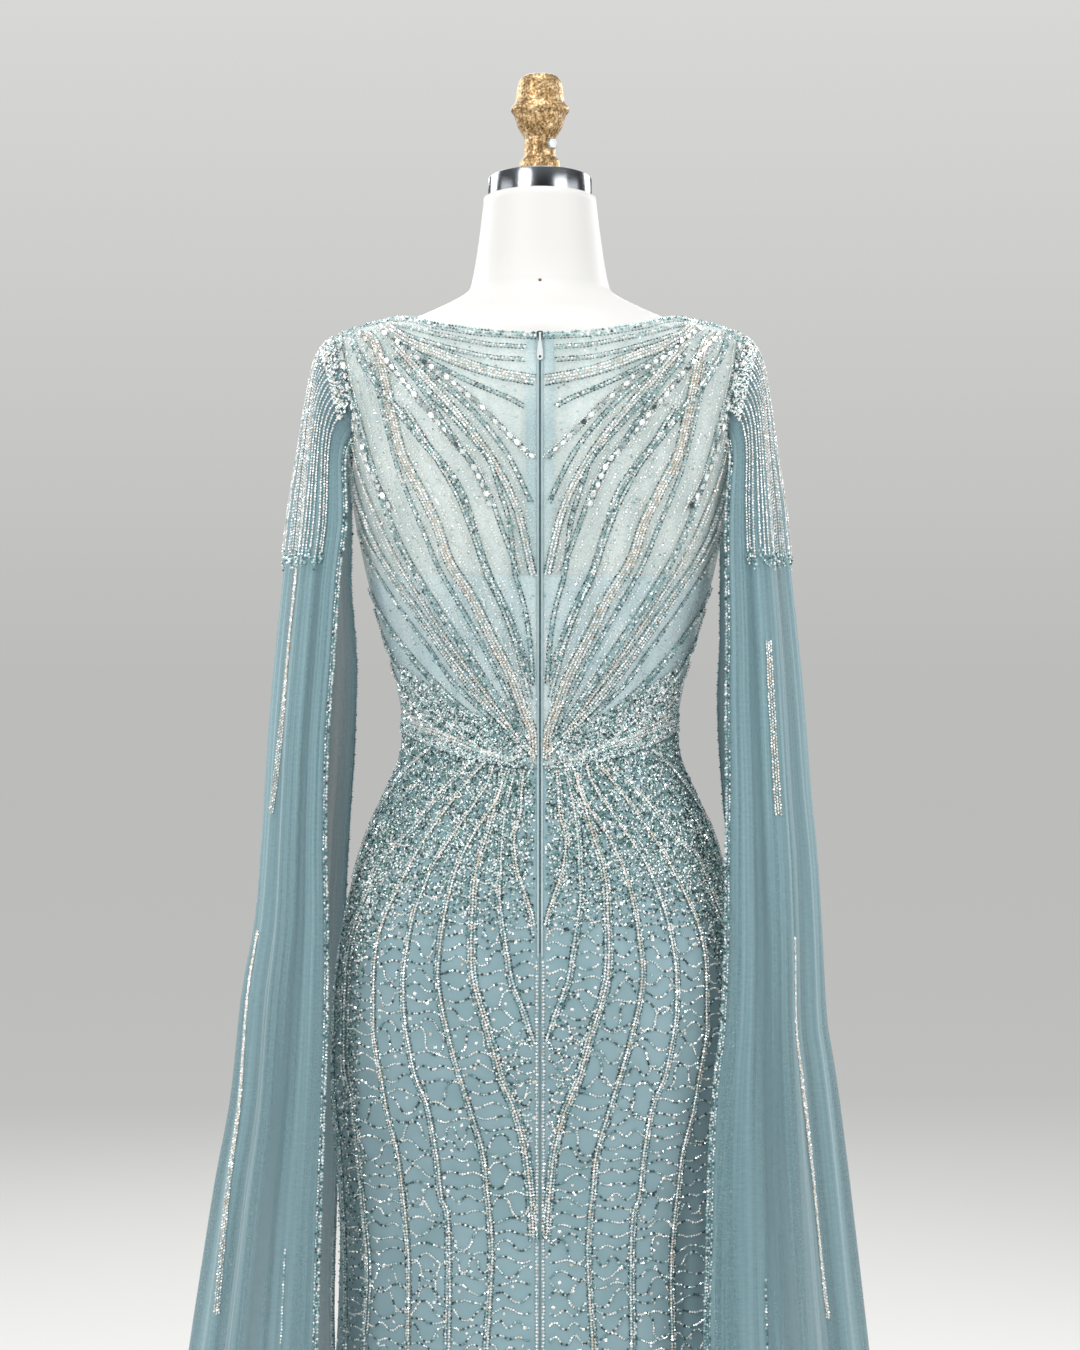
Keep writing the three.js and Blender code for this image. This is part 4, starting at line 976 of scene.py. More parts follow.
# Bead lines of the skirt: points, rows, tones, size
SKIRT_LINES = [
    ([(13, 1057), (15, 1040), (16, 1020), (21, 1001), (18.5, 976), (12.4, 957), (6, 938), (2.5, 916)],
     2, WARM, 2.3),
    ([(20, 1058), (27, 1030), (31, 1001), (32, 976), (33, 953), (30, 930), (26, 906), (22, 884), (12, 859),
      (4, 833)], 2, PALE, 2.3),
    ([(27, 1059), (36, 1030), (44, 1001), (50, 984), (54, 963), (55, 944), (56, 913), (55, 890), (50, 868),
      (44, 850), (37, 825), (31, 804), (20, 777), (12, 746), (9, 721), (7, 698), (5, 670)], 3, WARM, 2.4),
    ([(31, 1060), (34, 1036), (56, 1001), (68, 976), (75, 951), (79, 930), (82, 906), (83, 887), (80, 865),
      (75, 844), (69, 821), (64, 804), (54, 771), (46, 743), (43, 713), (40, 683), (39, 652), (43, 582)],
     2, WARM, 2.3),
    ([(38, 1061), (45, 1042), (73, 1001), (86, 980), (96, 957), (104, 934), (108, 913), (111, 890),
      (111, 868), (110, 850), (106, 827), (101, 804), (91, 779), (84, 736), (81, 705), (76, 689), (75, 640),
      (76, 582)], 2, SILVER, 2.3),
    ([(46, 1063), (65, 1040), (96, 996), (110, 971), (123, 944), (131, 923), (135, 901), (136, 882),
      (136, 863), (136, 844), (134, 825), (130, 804), (125, 774), (117, 743), (113, 713), (109, 675),
      (107, 637), (108, 582)], 2, WARM, 2.3),
    ([(55, 1065), (80, 1040), (111, 1001), (128, 985), (145, 946), (154, 922), (159, 900), (161, 875),
      (162, 849), (162, 804), (156, 774), (151, 728), (147, 690), (142, 644), (143, 606), (145, 582)],
     3, PALE, 2.4),
    ([(75, 1069), (100, 1046), (122, 1022), (140, 994), (152, 966), (162, 930), (168, 890), (171, 850),
      (171, 790), (166, 740), (163, 690), (161, 640), (161, 582)], 2, AQUA, 2.3),
    ([(92, 1074), (110, 1056), (126, 1034), (140, 1010), (149, 985), (156, 962)], 1, PALE, 2.2),
]
# The photo ends here: below, the lines go on at the same share of the skirt's width
LAST_MEASURED = 582.0


def bodice_keep(front, side):
    """Keeps the beads that lie on the panel: above the waist, under the neckline, clear of the zip."""

    def keep(point, _):
        x, z = np.abs(point[:, 0]), point[:, 2]
        inside = (point[:, 0] * side > (0.0 if front else 2.6)) & (z < top_height(x, front) + 0.6)
        return inside & (z > waist_at(x, front) + 0.5)

    return keep


def front_line(points):
    """A back line fitted to the front: it reaches the middle, where the back has its zip strip, and its
    heights in the yoke are drawn down with the neckline."""
    points = np.array(points, float)
    points[:, 0] = np.interp(points[:, 0], (0.0, TAPE_WIDTH + 1.4, 45.0, 200.0), (0.0, 1.5, 45.0, 200.0))
    high = np.clip((points[:, 1] - 1300) / 120, 0, 1) * np.clip(1 - points[:, 0] / NECK_POINT_X, 0, 1)
    points[:, 1] -= high * (NECK_CENTRE_BACK - NECK_CENTRE_FRONT)
    return points


def bodice_beads(side, front, rng, seeds, greens, stones):
    """One side of a panel: lines, soft rows, stones, armhole edge, waist and single beads. The front has
    single rows and fewer beads."""
    locate = on_gown(bodice, front, side)
    keep = bodice_keep(front, side)
    thin = FRONT_SHARE if front else 1.0
    lines = [smoothed(front_line(points) if front else points) for points, *_ in BODICE_LINES]
    for path, (_, rows, tones, size) in zip(lines, BODICE_LINES):
        if front:
            bead_line(seeds, locate, path, rng, tones, 1, (size * 1.3, size * 1.2, size), 1, size * 1.3,
                      keep, 0.15)
        else:
            rope(seeds, locate, path, rng, tones, rows, size, keep)
    for first, second in SOFT_ROWS:
        for share in () if front else (0.33, 0.67):
            bead_line(seeds, locate, blended(lines[first], lines[second], share), rng, SOFT, 1,
                      (2.1, 2.0, 1.6), 1, 2.7, keep, 0.6, fade=0.2)
    for points, length in STONE_LINES:
        path = smoothed(front_line(points) if front else points)
        bead_line(stones, locate, path, rng, STONES, 1, (length * 1.1, length * 1.1, 3.0), 1,
                  length * 1.36, keep, 0.3, 0.8, tilt=0.16)
        # Two dark rows under the stones' edges: painted shadow of the stones on the cloth.
        bead_line(seeds, locate, path, rng, SHADE, 2, (2.0, 1.6, 1.0), 3.4, 2.6, keep, 0.15)
        for shift in (-3.6, 3.6):
            moved = path + np.array([shift, 0.0])
            bead_line(seeds, locate, moved, rng, SILVER, 1, (1.9, 1.8, 1.5), 1, 2.1, keep, 0.25)
    # Armhole edge: two rows of small beads along the oval
    turn = np.linspace(-80, 86, 90)
    z = ARMHOLE_MIDDLE + ARMHOLE_HALF_HEIGHT * np.sin(np.radians(turn))
    angle = armhole_angle(z) - 1.1
    edge = np.column_stack((angle, z))

    def at_edge(a, height):
        a = side * (180 - a if front else a)
        return raised(bodice, a, height, SHELL_OUTER), normals(bodice, a, height)

    bead_line(greens, at_edge, edge, rng, DEEP, 2, (2.4, 2.2, 2.0), 2.4, 2.5)
    # A row that covers the waist seam, and dense beads over it
    x = np.linspace(3.2, WAIST_HALF - 0.5, 80)
    path = np.column_stack((x, waist_at(x, front) + 0.9))
    bead_line(seeds, locate, path, rng, MIXED, 1, (2.8, 2.8, 2.4), 1, 2.5, keep, 0.2)
    count = int(WAIST_BEADS * thin)
    x = WAIST_HALF * np.sqrt(rng.uniform(0.0008, 1, count))
    z = waist_at(x, front) + 1.4 + (24 + 34 * x / WAIST_HALF) * rng.random(count) ** 1.6
    scattered(seeds, locate, np.column_stack((x, z)), rng, MIXED, (2.4, 2.3, 1.8), keep=keep)
    # Single beads between the rays, thick at the shoulder tip and over the lining, thin in the yoke
    count = int(BODICE_SINGLES * thin)
    x, z = rng.uniform(3, 172, count), rng.uniform(1062, 1440, count)
    tip = np.clip((x - 105) / 45, 0, 1) * np.clip((z - 1375) / 40, 0, 1)
    share = np.where(z > 1222, 0.06 + 0.12 * np.clip((x - 45) / 60, 0, 1) + 0.8 * tip,
                     0.3 - 0.16 * np.clip((z - 1110) / 90, 0, 1))
    chosen = (rng.random(count) < share) & (x < FIGURE(z)[..., 0] * 0.985) & ((x > 14) | (z < 1222))
    chosen &= angle_at(x, z, front) < edge_angle(z, front) - 1
    spots = np.column_stack((x, z))[chosen]
    scattered(seeds, locate, spots, rng, SOFT + AQUA[:2], (2.0, 1.9, 1.5), keep=keep)


def skirt_line_x(line, z):
    """A line's x at any height: its own table down to the last height measured, and below that at the
    same share of the skirt's half width."""
    table = Curves(np.array(line)[::-1][:, ::-1])
    half = FIGURE(np.asarray(z, float))[..., 0]
    low = line[-1][1]
    grown = table(low)[0] * half / FIGURE(low)[0]
    return np.where(z >= low, table(z)[..., 0], grown)


def skirt_keep(front):
    """Keeps the beads that lie on the panel: above the hem, under the waist, clear of the zip."""

    def keep(_, value):
        x, z = np.abs(value[:, 0]), value[:, 1]
        inside = (z > SKIRT_HEM + 3) & (z < waist_at(x, front) - 0.6)
        return inside & (x > (0.8 if front else np.where(z > ZIP_END, ZIP_CLEAR, SEAM_CLEAR)))

    return keep


def skirt_lines(front, locate, keep, rng, seeds):
    """The lines down the skirt: a bright row with softer rows beside it and dark rows of painted shadow at
    its edges on the back, and a single row on the front and below the last height measured. The lines down
    the skirt: a bright row with softer rows beside it and dark edges on the back, and a single row on the
    front and below the photo's edge."""
    for k, (points, rows, tones, size) in enumerate(SKIRT_LINES):
        path = smoothed(points)
        if front:
            bead_line(seeds, locate, path, rng, tones, 1, (size * 1.4, size * 1.2, size), 1, size * 1.35,
                      keep, 0.1)
        else:
            bead_line(seeds, locate, path, rng, tones, 1, (size * 1.3, size * 1.2, size), 1, size * 1.12,
                      keep, 0.1, 0.8, tilt=0.22)
            for shift in (-size, size) if rows == 3 else (size,):
                bead_line(seeds, locate, path + np.array([shift, 0.0]), rng, PALE + AQUA, 1,
                          (size * 1.15, size * 1.05, size * 0.9), 1, size * 1.05, keep, 0.2, 0.3)
            # Dark rows of painted shadow at both edges of the line.
            middle = path + np.array([0.0 if rows == 3 else size / 2, 0.0])
            painted_shadow_rows(seeds, locate, middle, rng, keep, (1.6 if rows == 3 else 1.1) * size + 0.4)
        if points[-1][1] > LAST_MEASURED + 1:
            continue
        foot = 170 + 60 * np.sin(2.1 * k + (1 if front else 0))
        z = np.arange(LAST_MEASURED, foot, -6.0)
        lower = np.column_stack((skirt_line_x(points, z), z))
        bead_line(seeds, locate, lower, rng, tones, 1, (size * 1.3, size * 1.2, size), 1, size * 1.2,
                  keep, 0.1)
        if not front:
            beside = lower[: 26 + 9 * (k % 3)] + np.array([size, 0.0])
            bead_line(seeds, locate, beside, rng, PALE + AQUA, 1, (size * 1.1, size, size * 0.9), 1,
                      size * 1.3, keep, 0.2, 0.3)


def skirt_strings(front, locate, keep, rng, seeds):
    """Strings of small beads that wander from one line to the next, fewer and wider apart below."""
    thin = FRONT_SHARE if front else 1.0
    lines = [points for points, *_ in SKIRT_LINES[:8]]
    for k in range(-1, len(lines) - 1):
        left = [(0.5 if front else 4.5, height) for height in (1058, LAST_MEASURED)] if k < 0 else lines[k]
        right = lines[k + 1] if k >= 0 else lines[2]
        z = (STRINGS_TOP if k >= 0 else STRINGS_TOP - 127) + rng.uniform(-4, 4)
        while z > 60:
            below = np.clip((LAST_MEASURED - z) / 450, 0, 1)
            x0, x1 = (skirt_line_x(line, np.array([z]))[0] for line in (left, right))
            if x1 - x0 > 9 and rng.random() > 0.55 * below:
                # A river's bends: the heading swings evenly to both sides as the string goes across
                t = np.linspace(0, 1, 41)
                bends = max(1.0, round((x1 - x0) / 24))
                swing = 0.35 + 1.3 * rng.random() ** 2
                heading = swing * np.sin(2 * np.pi * bends * t + rng.uniform(0, 2 * np.pi))
                step = (x1 - x0 - 4) / np.cos(heading).sum()
                height = np.cumsum(np.sin(heading)) * step
                height += z - height.mean() + rng.uniform(-3, 3) * (t - 0.5)
                path = np.column_stack((x0 + 2 + np.cumsum(np.cos(heading)) * step, height))
                bead_line(seeds, locate, path, rng, STRING, 1, (2.7, 2.4, 1.9), 1, 2.3, keep, 0.15)
                spot = np.column_stack((x0 + (x1 - x0) * rng.random(1), z - 4 + rng.uniform(-3, 3, 1)))
                scattered(seeds, locate, spot, rng, SILVER, (3.4, 3.2, 1.0), tilt=0.3, keep=keep)
            z -= rng.uniform(*STRING_GAPS) * (1 + 2.2 * below) / thin


def skirt_beads(side, front, rng, seeds, greens):
    """One side of the skirt: its lines, its strings, and single beads."""
    locate = on_gown(skirt, front, side)
    keep = skirt_keep(front)
    thin = FRONT_SHARE if front else 1.0
    skirt_lines(front, locate, keep, rng, seeds)
    skirt_strings(front, locate, keep, rng, seeds)
    # Dense beads from the waist down, which break up into the open ground below the hip
    count = int(HIP_BEADS * thin)
    x, z = 178 * rng.random(count) ** 0.85, 1088 - 190 * rng.random(count) ** 1.15
    half = FIGURE(z)[..., 0]
    edge = np.clip((x / half - 0.7) / 0.25, 0, 1)
    share = np.clip((z - 915 + 60 * edge) / 75, 0, 1) * 0.9
    chosen = (rng.random(count) < share) & (x < half * 0.992)
    spots = np.column_stack((x, z))[chosen]
    scattered(greens, locate, spots[::2], rng, DEEP, (2.4, 2.3, 1.7), keep=keep)
    scattered(seeds, locate, spots[1::2], rng, MIXED, (2.4, 2.3, 1.7), keep=keep)
    # Green beads down the side seam
    count = int(SIDE_GREENS * thin)
    z = 1010 - 960 * rng.random(count) ** 1.3
    half = FIGURE(z)[..., 0]
    x = half * (1 - 0.16 * rng.random(count) ** 1.4)
    share = 0.3 + 0.7 * np.clip((z - 600) / 260, 0, 1)
    chosen = (rng.random(count) < share) & (x < half * 0.996)
    scattered(greens, locate, np.column_stack((x, z))[chosen], rng, DEEP, (2.4, 2.2, 1.8), keep=keep)


# Sizes and colours that a user would change


class GownColours(bpy.types.PropertyGroup):
    """Colours of the stage round the gown."""

    floor: bpy.props.FloatVectorProperty(
        name="Floor", description="Colour of the plain floor", subtype="COLOR", size=4, min=0, max=1,
        default=linear("#DEDEDC"),
    )
    far_floor: bpy.props.FloatVectorProperty(
        name="Far floor", description="Tone in which the floor and the backdrop meet", subtype="COLOR",
        size=4, min=0, max=1, default=linear("#BCBCBA"),
    )
    backdrop: bpy.props.FloatVectorProperty(
        name="Backdrop", description="Colour that the camera sees behind the gown", subtype="COLOR", size=4,
        min=0, max=1, default=linear("#E0E0DE"),
    )


class GownSizes(bpy.types.PropertyGroup):
    """Sizes of the cloth and the stage."""

    cloth: bpy.props.FloatProperty(
        name="Cloth thickness", description="Thickness of the tulle and the lining", unit="LENGTH",
        default=CLOTH_THICK / 1000, min=0.0002, max=0.001, precision=5,
    )
    fringe_strands: bpy.props.IntProperty(
        name="Fringe strands", description="Strands of beads over each shoulder", default=34, min=10, max=60,
    )
    floor_radius: bpy.props.FloatProperty(
        name="Floor radius", description="Radius of the plain floor", unit="LENGTH", default=30.0, min=2.0,
    )
    light: bpy.props.FloatProperty(
        name="Key light", description="Power of the largest soft light", unit="POWER", default=94.0, min=0.0,
    )


class GownOperator(bpy.types.Operator):
    """Base of the gown's operators: runs make() and finishes."""

    bl_options = {"REGISTER", "UNDO"}

    def execute(self, context):
        self.make(context.scene)
        return {"FINISHED"}


class GOWN_OT_dress_form(GownOperator):
    """Makes the torso, its neck cap, finial and set screw, and the stand"""

    bl_idname = "gown.dress_form"
    bl_label = "Dress Form"

    def make(self, scene):
        self.torso()
        self.cap_and_finial()
        self.stand()

    def torso(self):
        """The figure moved under the cloth, with its cups smoothed away, a rounded lower edge and the fine
        groove of its neck joint; the rings above lean as the neck cap does."""
        heights = np.concatenate((
            [FORM_BOTTOM], np.linspace(FORM_BOTTOM + 1, 1430, 60), np.linspace(1433, 1480, 20),
            np.linspace(1484, CAP_BOTTOM - GAP, 12),
        ))
        z, angle = np.meshgrid(heights, np.linspace(0, 360, 84, endpoint=False), indexing="ij")
        share = np.clip((1470 - z) / (1470 - 1447), 0, 1)
        cups = np.clip(-np.cos(np.radians(angle)), 0, None) * np.exp(-(((z - BUST_Z) / BUST_SPREAD) ** 2))
        edge = 3.0 * np.clip(1 - (z - FORM_BOTTOM) / 8, 0, 1) ** 2
        groove = 0.5 * np.exp(-(((z - NECK_JOINT) / 1.6) ** 2))
        points = raised(figure, angle, z, FORM_UNDER_CLOTH * share - 7 * cups - edge - groove)
        points[..., 2] = np.where((z > TILT_START) | (z < FORM_BOTTOM + 9), z, points[..., 2])
        lean = np.clip((z - TILT_START) / (CAP_BOTTOM - TILT_START), 0, 1)
        points[..., 2] += lean * (points[..., 1] - CAP_CENTRE_Y) * np.tan(CAP_TILT)
        points, faces = rings(points, FORM_BOTTOM, CAP_BOTTOM)
        new_piece("torso", points, faces, material_of("form"), ("form_body",))

    def cap_and_finial(self):
        """Turned profiles: the cap leans back, the finial's foot is cut along it, and the screw has six
        sides; last, the plug of the pin hole behind the neck."""
        profile = eased([(0, 0), (CAP_RADIUS, 0), (CAP_RADIUS, CAP_HEIGHT), (0, CAP_HEIGHT)], 1.0)
        points, faces = turned(profile, 128)
        cosine, sine = np.cos(CAP_TILT), np.sin(CAP_TILT)
        y, z = points[:, 1].copy(), points[:, 2].copy()
        points[:, 1] = CAP_CENTRE_Y + y * cosine - z * sine
        points[:, 2] = CAP_BOTTOM + y * sine + z * cosine
        new_piece("steel_neck_cap", points, faces, material_of("steel"), ("neck_cap",))
        foot = CAP_BOTTOM + CAP_HEIGHT
        profile = eased([
            (0, foot), (17.5, foot), (17.5, 1577), (16.3, 1580.7), (13.6, 1582), (13.3, 1598), (14.6, 1601),
            (19, 1608), (22.4, 1619), (25, 1621.5), (25.4, 1624.5), (22.6, 1627.5), (21, 1629.5),
            (20.4, 1638), (18.4, 1647), (14.6, 1652.2), (9, 1654), (0, 1654.4),
        ], 1.4)
        points, faces = turned(profile, 64)
        lean = (points[:, 1] - CAP_CENTRE_Y) * np.tan(CAP_TILT)
        points[:, 2] = np.maximum(points[:, 2], foot + GAP + CAP_HEIGHT / cosine - CAP_HEIGHT + lean)
        new_piece("gilt_finial", points, faces, material_of("gilt"), ("finial",))
        # Hexagonal set screw with a chamfered face, its axis level
        length, radius, stem = 4.6, 5.2, 13.3
        profile = [
            (0, 0), (radius, 0), (radius, length - 0.8), (radius - 0.9, length), (radius - 2.2, length),
            (radius - 2.4, length - 0.3), (0, length - 0.3),
        ]
        points, faces = turned(profile, 6)
        out = np.array([-np.sin(SCREW_TURN), np.cos(SCREW_TURN), 0])
        across = np.array([out[1], -out[0], 0])
        points = (
            points[:, :1] * across + points[:, 1:2] * np.array([0, 0, 1])
            + (points[:, 2:] + stem + GAP) * out + np.array([0, 0, SCREW_Z])
        )
        new_piece("set_screw", points, faces, material_of("zinc"), ("finial_screw",),
                  smooth=False)
        middle = raised(figure, np.array(0.0), np.array(NECK_JOINT - 0.5), 0.0)
        points, faces = turned([(0, -0.3), (1.3, -0.3), (1.1, 0.35), (0, 0.5)], 16)
        points = points[:, [0, 2, 1]] + middle
        new_piece("neck_pin_plug", points, faces, material_of("brown"))

    def stand(self):
        """The pole and the flat round base with its hub, both turned profiles."""
        bottom, top = HUB_HEIGHT + GAP, FORM_BOTTOM - GAP
        profile = eased([(0, bottom), (POLE_RADIUS, bottom), (POLE_RADIUS, top), (0, top)], 0.8)
        points, faces = turned(profile, 48)
        new_piece("steel_pole", points, faces, material_of("steel"), ("stand_pole",))
        profile = eased([
            (0, 0), (BASE_RADIUS, 0), (BASE_RADIUS, 4.5), (BASE_RADIUS - 4, 6.5), (90, 9.5), (40, 13),
            (26, 18), (22, HUB_HEIGHT), (0, HUB_HEIGHT),
        ], 1.5)
        points, faces = turned(profile, 128)
        new_piece("enamelled_base", points, faces, material_of("paint"), ("stand_base",))


def bodice_mesh(side, front, surface, out, lining, thick):
    """A bodice or lining panel as a shell on a grid whose columns close up towards the side as a sine. The
    rows of a lining are level. Those of a bodice close up at both ends of the armhole as a cosine."""
    columns, rows = 73 if front else 43, 25 if lining else 75
    u = np.linspace(-1, 1, columns) if front else np.linspace(1e-6, 1, columns) * side
    across = np.sin(np.pi / 2 * u)
    if not front:
        across = np.where(np.abs(across) < 1e-6, side * 1e-6, across)
    share = np.linspace(0, 1, rows)
    if lining:
        heights = WAIST_SIDE + (LINING_TOP_BACK - WAIST_SIDE) * share
    else:
        low = 0.45
        turn = np.pi * (share - low).clip(0) / (1 - low)
        arc = ARMHOLE_BOTTOM + (ARMHOLE_TOP - ARMHOLE_BOTTOM) * (1 - np.cos(turn)) / 2
        line = WAIST_SIDE + (ARMHOLE_BOTTOM - WAIST_SIDE) * (share / low).clip(0, 1)
        heights = np.where(share < low, line, arc)
    across, heights = np.meshgrid(across, heights)
    angle, z = bodice_panel(across, heights, front)
    return cloth(raised(surface, angle, z, out), normals(surface, angle, z), thick)


class GOWN_OT_linings(GownOperator):
    """Makes the strapless lining and the plain strips beside the zip"""

    bl_idname = "gown.linings"
    bl_label = "Linings and Zip Strips"

    def make(self, scene):
        thick = scene.gown_sizes.cloth * 1000
        points, faces = bodice_mesh(1, True, figure, LINING_MIDDLE, True, thick)
        piece = new_piece("lining_front_cloth", points, faces, material_of("satin"),
                          ("lining_front",))
        for name, side in SIDES.items():
            points, faces = bodice_mesh(side, False, figure, LINING_MIDDLE, True, thick)
            piece = new_piece(f"lining_back_{name}_cloth", points, faces, material_of("satin"),
                              (f"lining_back_{name}",))
            share, across = np.meshgrid(np.linspace(0, 1, 60), np.linspace(0, 1, 7), indexing="ij")
            z = LINING_TOP_BACK + GAP + (NECK_CENTRE_BACK - 1 - LINING_TOP_BACK - GAP) * share
            angle = side * angle_at(SEAM_HALF_GAP + (TAPE_WIDTH - SEAM_HALF_GAP) * across, z, False)
            points, faces = cloth(raised(figure, angle, z, LINING_MIDDLE), normals(figure, angle, z), thick)
            piece = new_piece(f"zip_strip_{name}", points, faces, material_of("tape"),
                              (f"zip_tape_{name}",))


class GOWN_OT_bodice(GownOperator):
    """Makes the three panels of the sheer tulle bodice"""

    bl_idname = "gown.bodice"
    bl_label = "Bodice"

    def make(self, scene):
        thick = scene.gown_sizes.cloth * 1000
        points, faces = bodice_mesh(1, True, bodice, SHELL_MIDDLE, False, thick)
        piece = new_piece("bodice_front_tulle", points, faces, material_of("sheer"),
                          ("bodice_front",))
        for name, side in SIDES.items():
            points, faces = bodice_mesh(side, False, bodice, SHELL_MIDDLE, False, thick)
            piece = new_piece(f"bodice_back_{name}_tulle", points, faces, material_of("sheer"),
                              (f"bodice_back_{name}",))


class GOWN_OT_skirt(GownOperator):
    """Makes the three panels of the fitted skirt, which flare into flutes below the knee"""

    bl_idname = "gown.skirt"
    bl_label = "Skirt"

    def make(self, scene):
        thick = scene.gown_sizes.cloth * 1000
        rows = 96
        share = np.linspace(0, 1, rows)[:, None]
        for name, side, columns in (("front", 1, 100), ("back_left", 1, 56), ("back_right", -1, 56)):
            front = name == "front"
            across = np.linspace(0, 1, columns)[None]

            def between(z):
                end = side_angle(z, front)
                if front:
                    return 180 - end + 2 * end * across
                start = angle_at(np.array(SEAM_HALF_GAP), z, False)
                return side * (start + (end - start) * across)

            guess = between(np.full((1, 1), WAIST_SIDE))
            z = waist_height(guess) - GAP / 2 + (SKIRT_HEM - waist_height(guess) + GAP / 2) * share
            angle = between(z)
            outward = normals(skirt, angle, z)
            outward[-1, :, 2] = 0
            outward /= np.linalg.norm(outward, axis=-1, keepdims=True)
            points, faces = cloth(skirt(angle, z) + outward * SHELL_MIDDLE, outward, thick)
            piece = new_piece(f"skirt_{name}_tulle", points, faces, material_of("skirt"),
                              (f"skirt_{name}",))


class GOWN_OT_sleeves(GownOperator):
    """Makes the two open cape sleeves of plain tulle"""

    bl_idname = "gown.sleeves"
    bl_label = "Cape Sleeves"

    def make(self, scene):
        thick = scene.gown_sizes.cloth * 1000
        for name in SIDES:
            share = np.linspace(0, 1, 105)[None]
            drop = np.concatenate((np.linspace(0, 0.03, 11)[:-1], np.linspace(0.03, 1, 60)))[:, None]
            z = sleeve_top(share) + (SLEEVE_HEM - sleeve_top(share)) * drop
            points = sleeve(name, share, z)
            along, down = np.gradient(points, axis=1), np.gradient(points, axis=0)
            outward = np.cross(along, down) * SIDES[name]
            outward /= np.linalg.norm(outward, axis=-1, keepdims=True)
            width = 480 * share * np.ones((len(points), 1))
            uv = np.stack((width, points[..., 2]), axis=-1).reshape(-1, 2) / 1000
            points, faces = cloth(points, outward, thick)
            piece = new_piece(f"sleeve_{name}_tulle", points, faces, material_of("sleeve"),
                              (f"sleeve_{name}",), uv=np.vstack((uv, uv)))


def on_sleeve(name, out=0.5):
    """Locator for paths of share across and height, at a distance outside a sleeve."""

    def locate(share, z):
        away = sleeve_normals(name, share, z)
        return sleeve(name, share, z) + away * out, away

    return locate


def share_at(name, x, z):
    """The share of a sleeve's back half whose x comes nearest to a given one."""
    shares = np.linspace(0.0, 0.48, 400)
    found = sleeve(name, shares, np.full(len(shares), z))[:, 0]
    return float(shares[np.argmin(np.abs(found - x))])


class GOWN_OT_fringe(GownOperator):
    """Makes the strip and the strands of beads that hang over each shoulder"""

    bl_idname = "gown.fringe"
    bl_label = "Shoulder Fringe"

    def make(self, scene):
        strands = scene.gown_sizes.fringe_strands
        for name in SIDES:
            rng = np.random.default_rng(31 + SIDES[name])
            tray = Tray(OCTAHEDRON, OCTAHEDRON_FACES)
            locate = on_sleeve(name, 1.4)
            for k in range(strands):
                share = 0.1 + 0.8 * (k + 0.5) / strands
                end = STRAND_END_Z + 5 * np.sin(2.4 * k)
                z = np.linspace(sleeve_top(share) - 6, end, 60)
                path = np.column_stack((share + 0.0012 * np.sin(z / 31 + k), z))
                bead_line(tray, locate, path, rng, SILVER, 1, (2.6, 2.0, 1.8), 1, 2.5, wobble=0.1)
                foot = np.column_stack((share + rng.normal(0, 0.004, 7), end - rng.uniform(0, 9, 7)))
                scattered(tray, locate, foot, rng, AQUA, (2.8, 2.6, 2.4), tilt=0.6)
            # Dense beads that cover the strip at the shoulder's edge
            share = rng.uniform(0.1, 0.9, STRAP_BEADS)
            spots = np.column_stack((share, sleeve_top(share) - rng.uniform(1, 11, STRAP_BEADS)))
            scattered(tray, locate, spots, rng, PALE, (2.4, 2.2, 1.9))
            tray.sewn(f"fringe_{name}_beads", "beads", (f"fringe_{name}",))


class GOWN_OT_zip(GownOperator):
    """Makes the zip's coil and folded edges, and gives the slider and its pull tab their finishes"""

    bl_idname = "gown.zip"
    bl_label = "Zip"

    def make(self, scene):
        self.ridge("zip_coil", 0.0, 0.6, 0.9, ZIP_TOP, ZIP_END, "coil", 0.16)
        top, end = NECK_CENTRE_BACK - 2, ZIP_END - 4
        for name, side in SIDES.items():
            self.ridge(f"zip_edge_{name}", 1.7 * side, 1.0, 1.1, top, end, "welt", 0.0)
        # Finishes with painted light: a painted highlight on the tab, painted shade on the slider.
        for node, finish in (("zip_slider", "slider"), ("zip_pull_tab", "bright")):
            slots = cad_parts[node].data.materials
            slots.clear()
            slots.append(material_of(finish))

    def ridge(self, name, middle, half, height, top, end, finish, swell):
        """A flattened tube down the centre back: a ring of cosine and sine round each point of the bodice or
        the skirt, which swells as a sine along its length with each turn of the coil."""
        z = np.linspace(top, end, 260)[:, None]
        turn = np.linspace(0, 2 * np.pi, 10, endpoint=False)[None]
        swollen = 1 + swell * np.sin(2 * np.pi * z / COIL_PITCH)
        x = middle + half * np.cos(turn) * swollen
        angle = angle_at(x, z, False) * np.sign(x)
        out = SHELL_OUTER - 0.3 + height * (1 + np.sin(turn)) / 2 * swollen
        above = (z > WAIST_SIDE - WAIST_DIP_BACK)[..., None]
        points = np.where(above, raised(bodice, angle, z, out), raised(skirt, angle, z, out)).reshape(-1, 3)
        first = np.arange(10)
        faces = [grid_faces(len(z), 10, around=True), first[None, ::-1], first[None] + 10 * (len(z) - 1)]
        new_piece(name, points, faces, material_of(finish))


class GOWN_OT_bodice_beads(GownOperator):
    """Sews the bead rays, garlands, stones and single beads on the bodice"""

    bl_idname = "gown.bodice_beads"
    bl_label = "Bodice Beads"

    def make(self, scene):
        for panel, sides in (("back_left", (1,)), ("back_right", (-1,)), ("front", (1, -1))):
            rng = np.random.default_rng(11 + len(panel))
            seeds, greens, stones = Tray(), Tray(), Tray(STONE, STONE_FACES)
            for side in sides:
                bodice_beads(side, panel == "front", rng, seeds, greens, stones)
            for tray, kind in ((seeds, "beads"), (greens, "green"), (stones, "stones")):
                tray.sewn(f"bodice_{panel}_{kind}", kind)


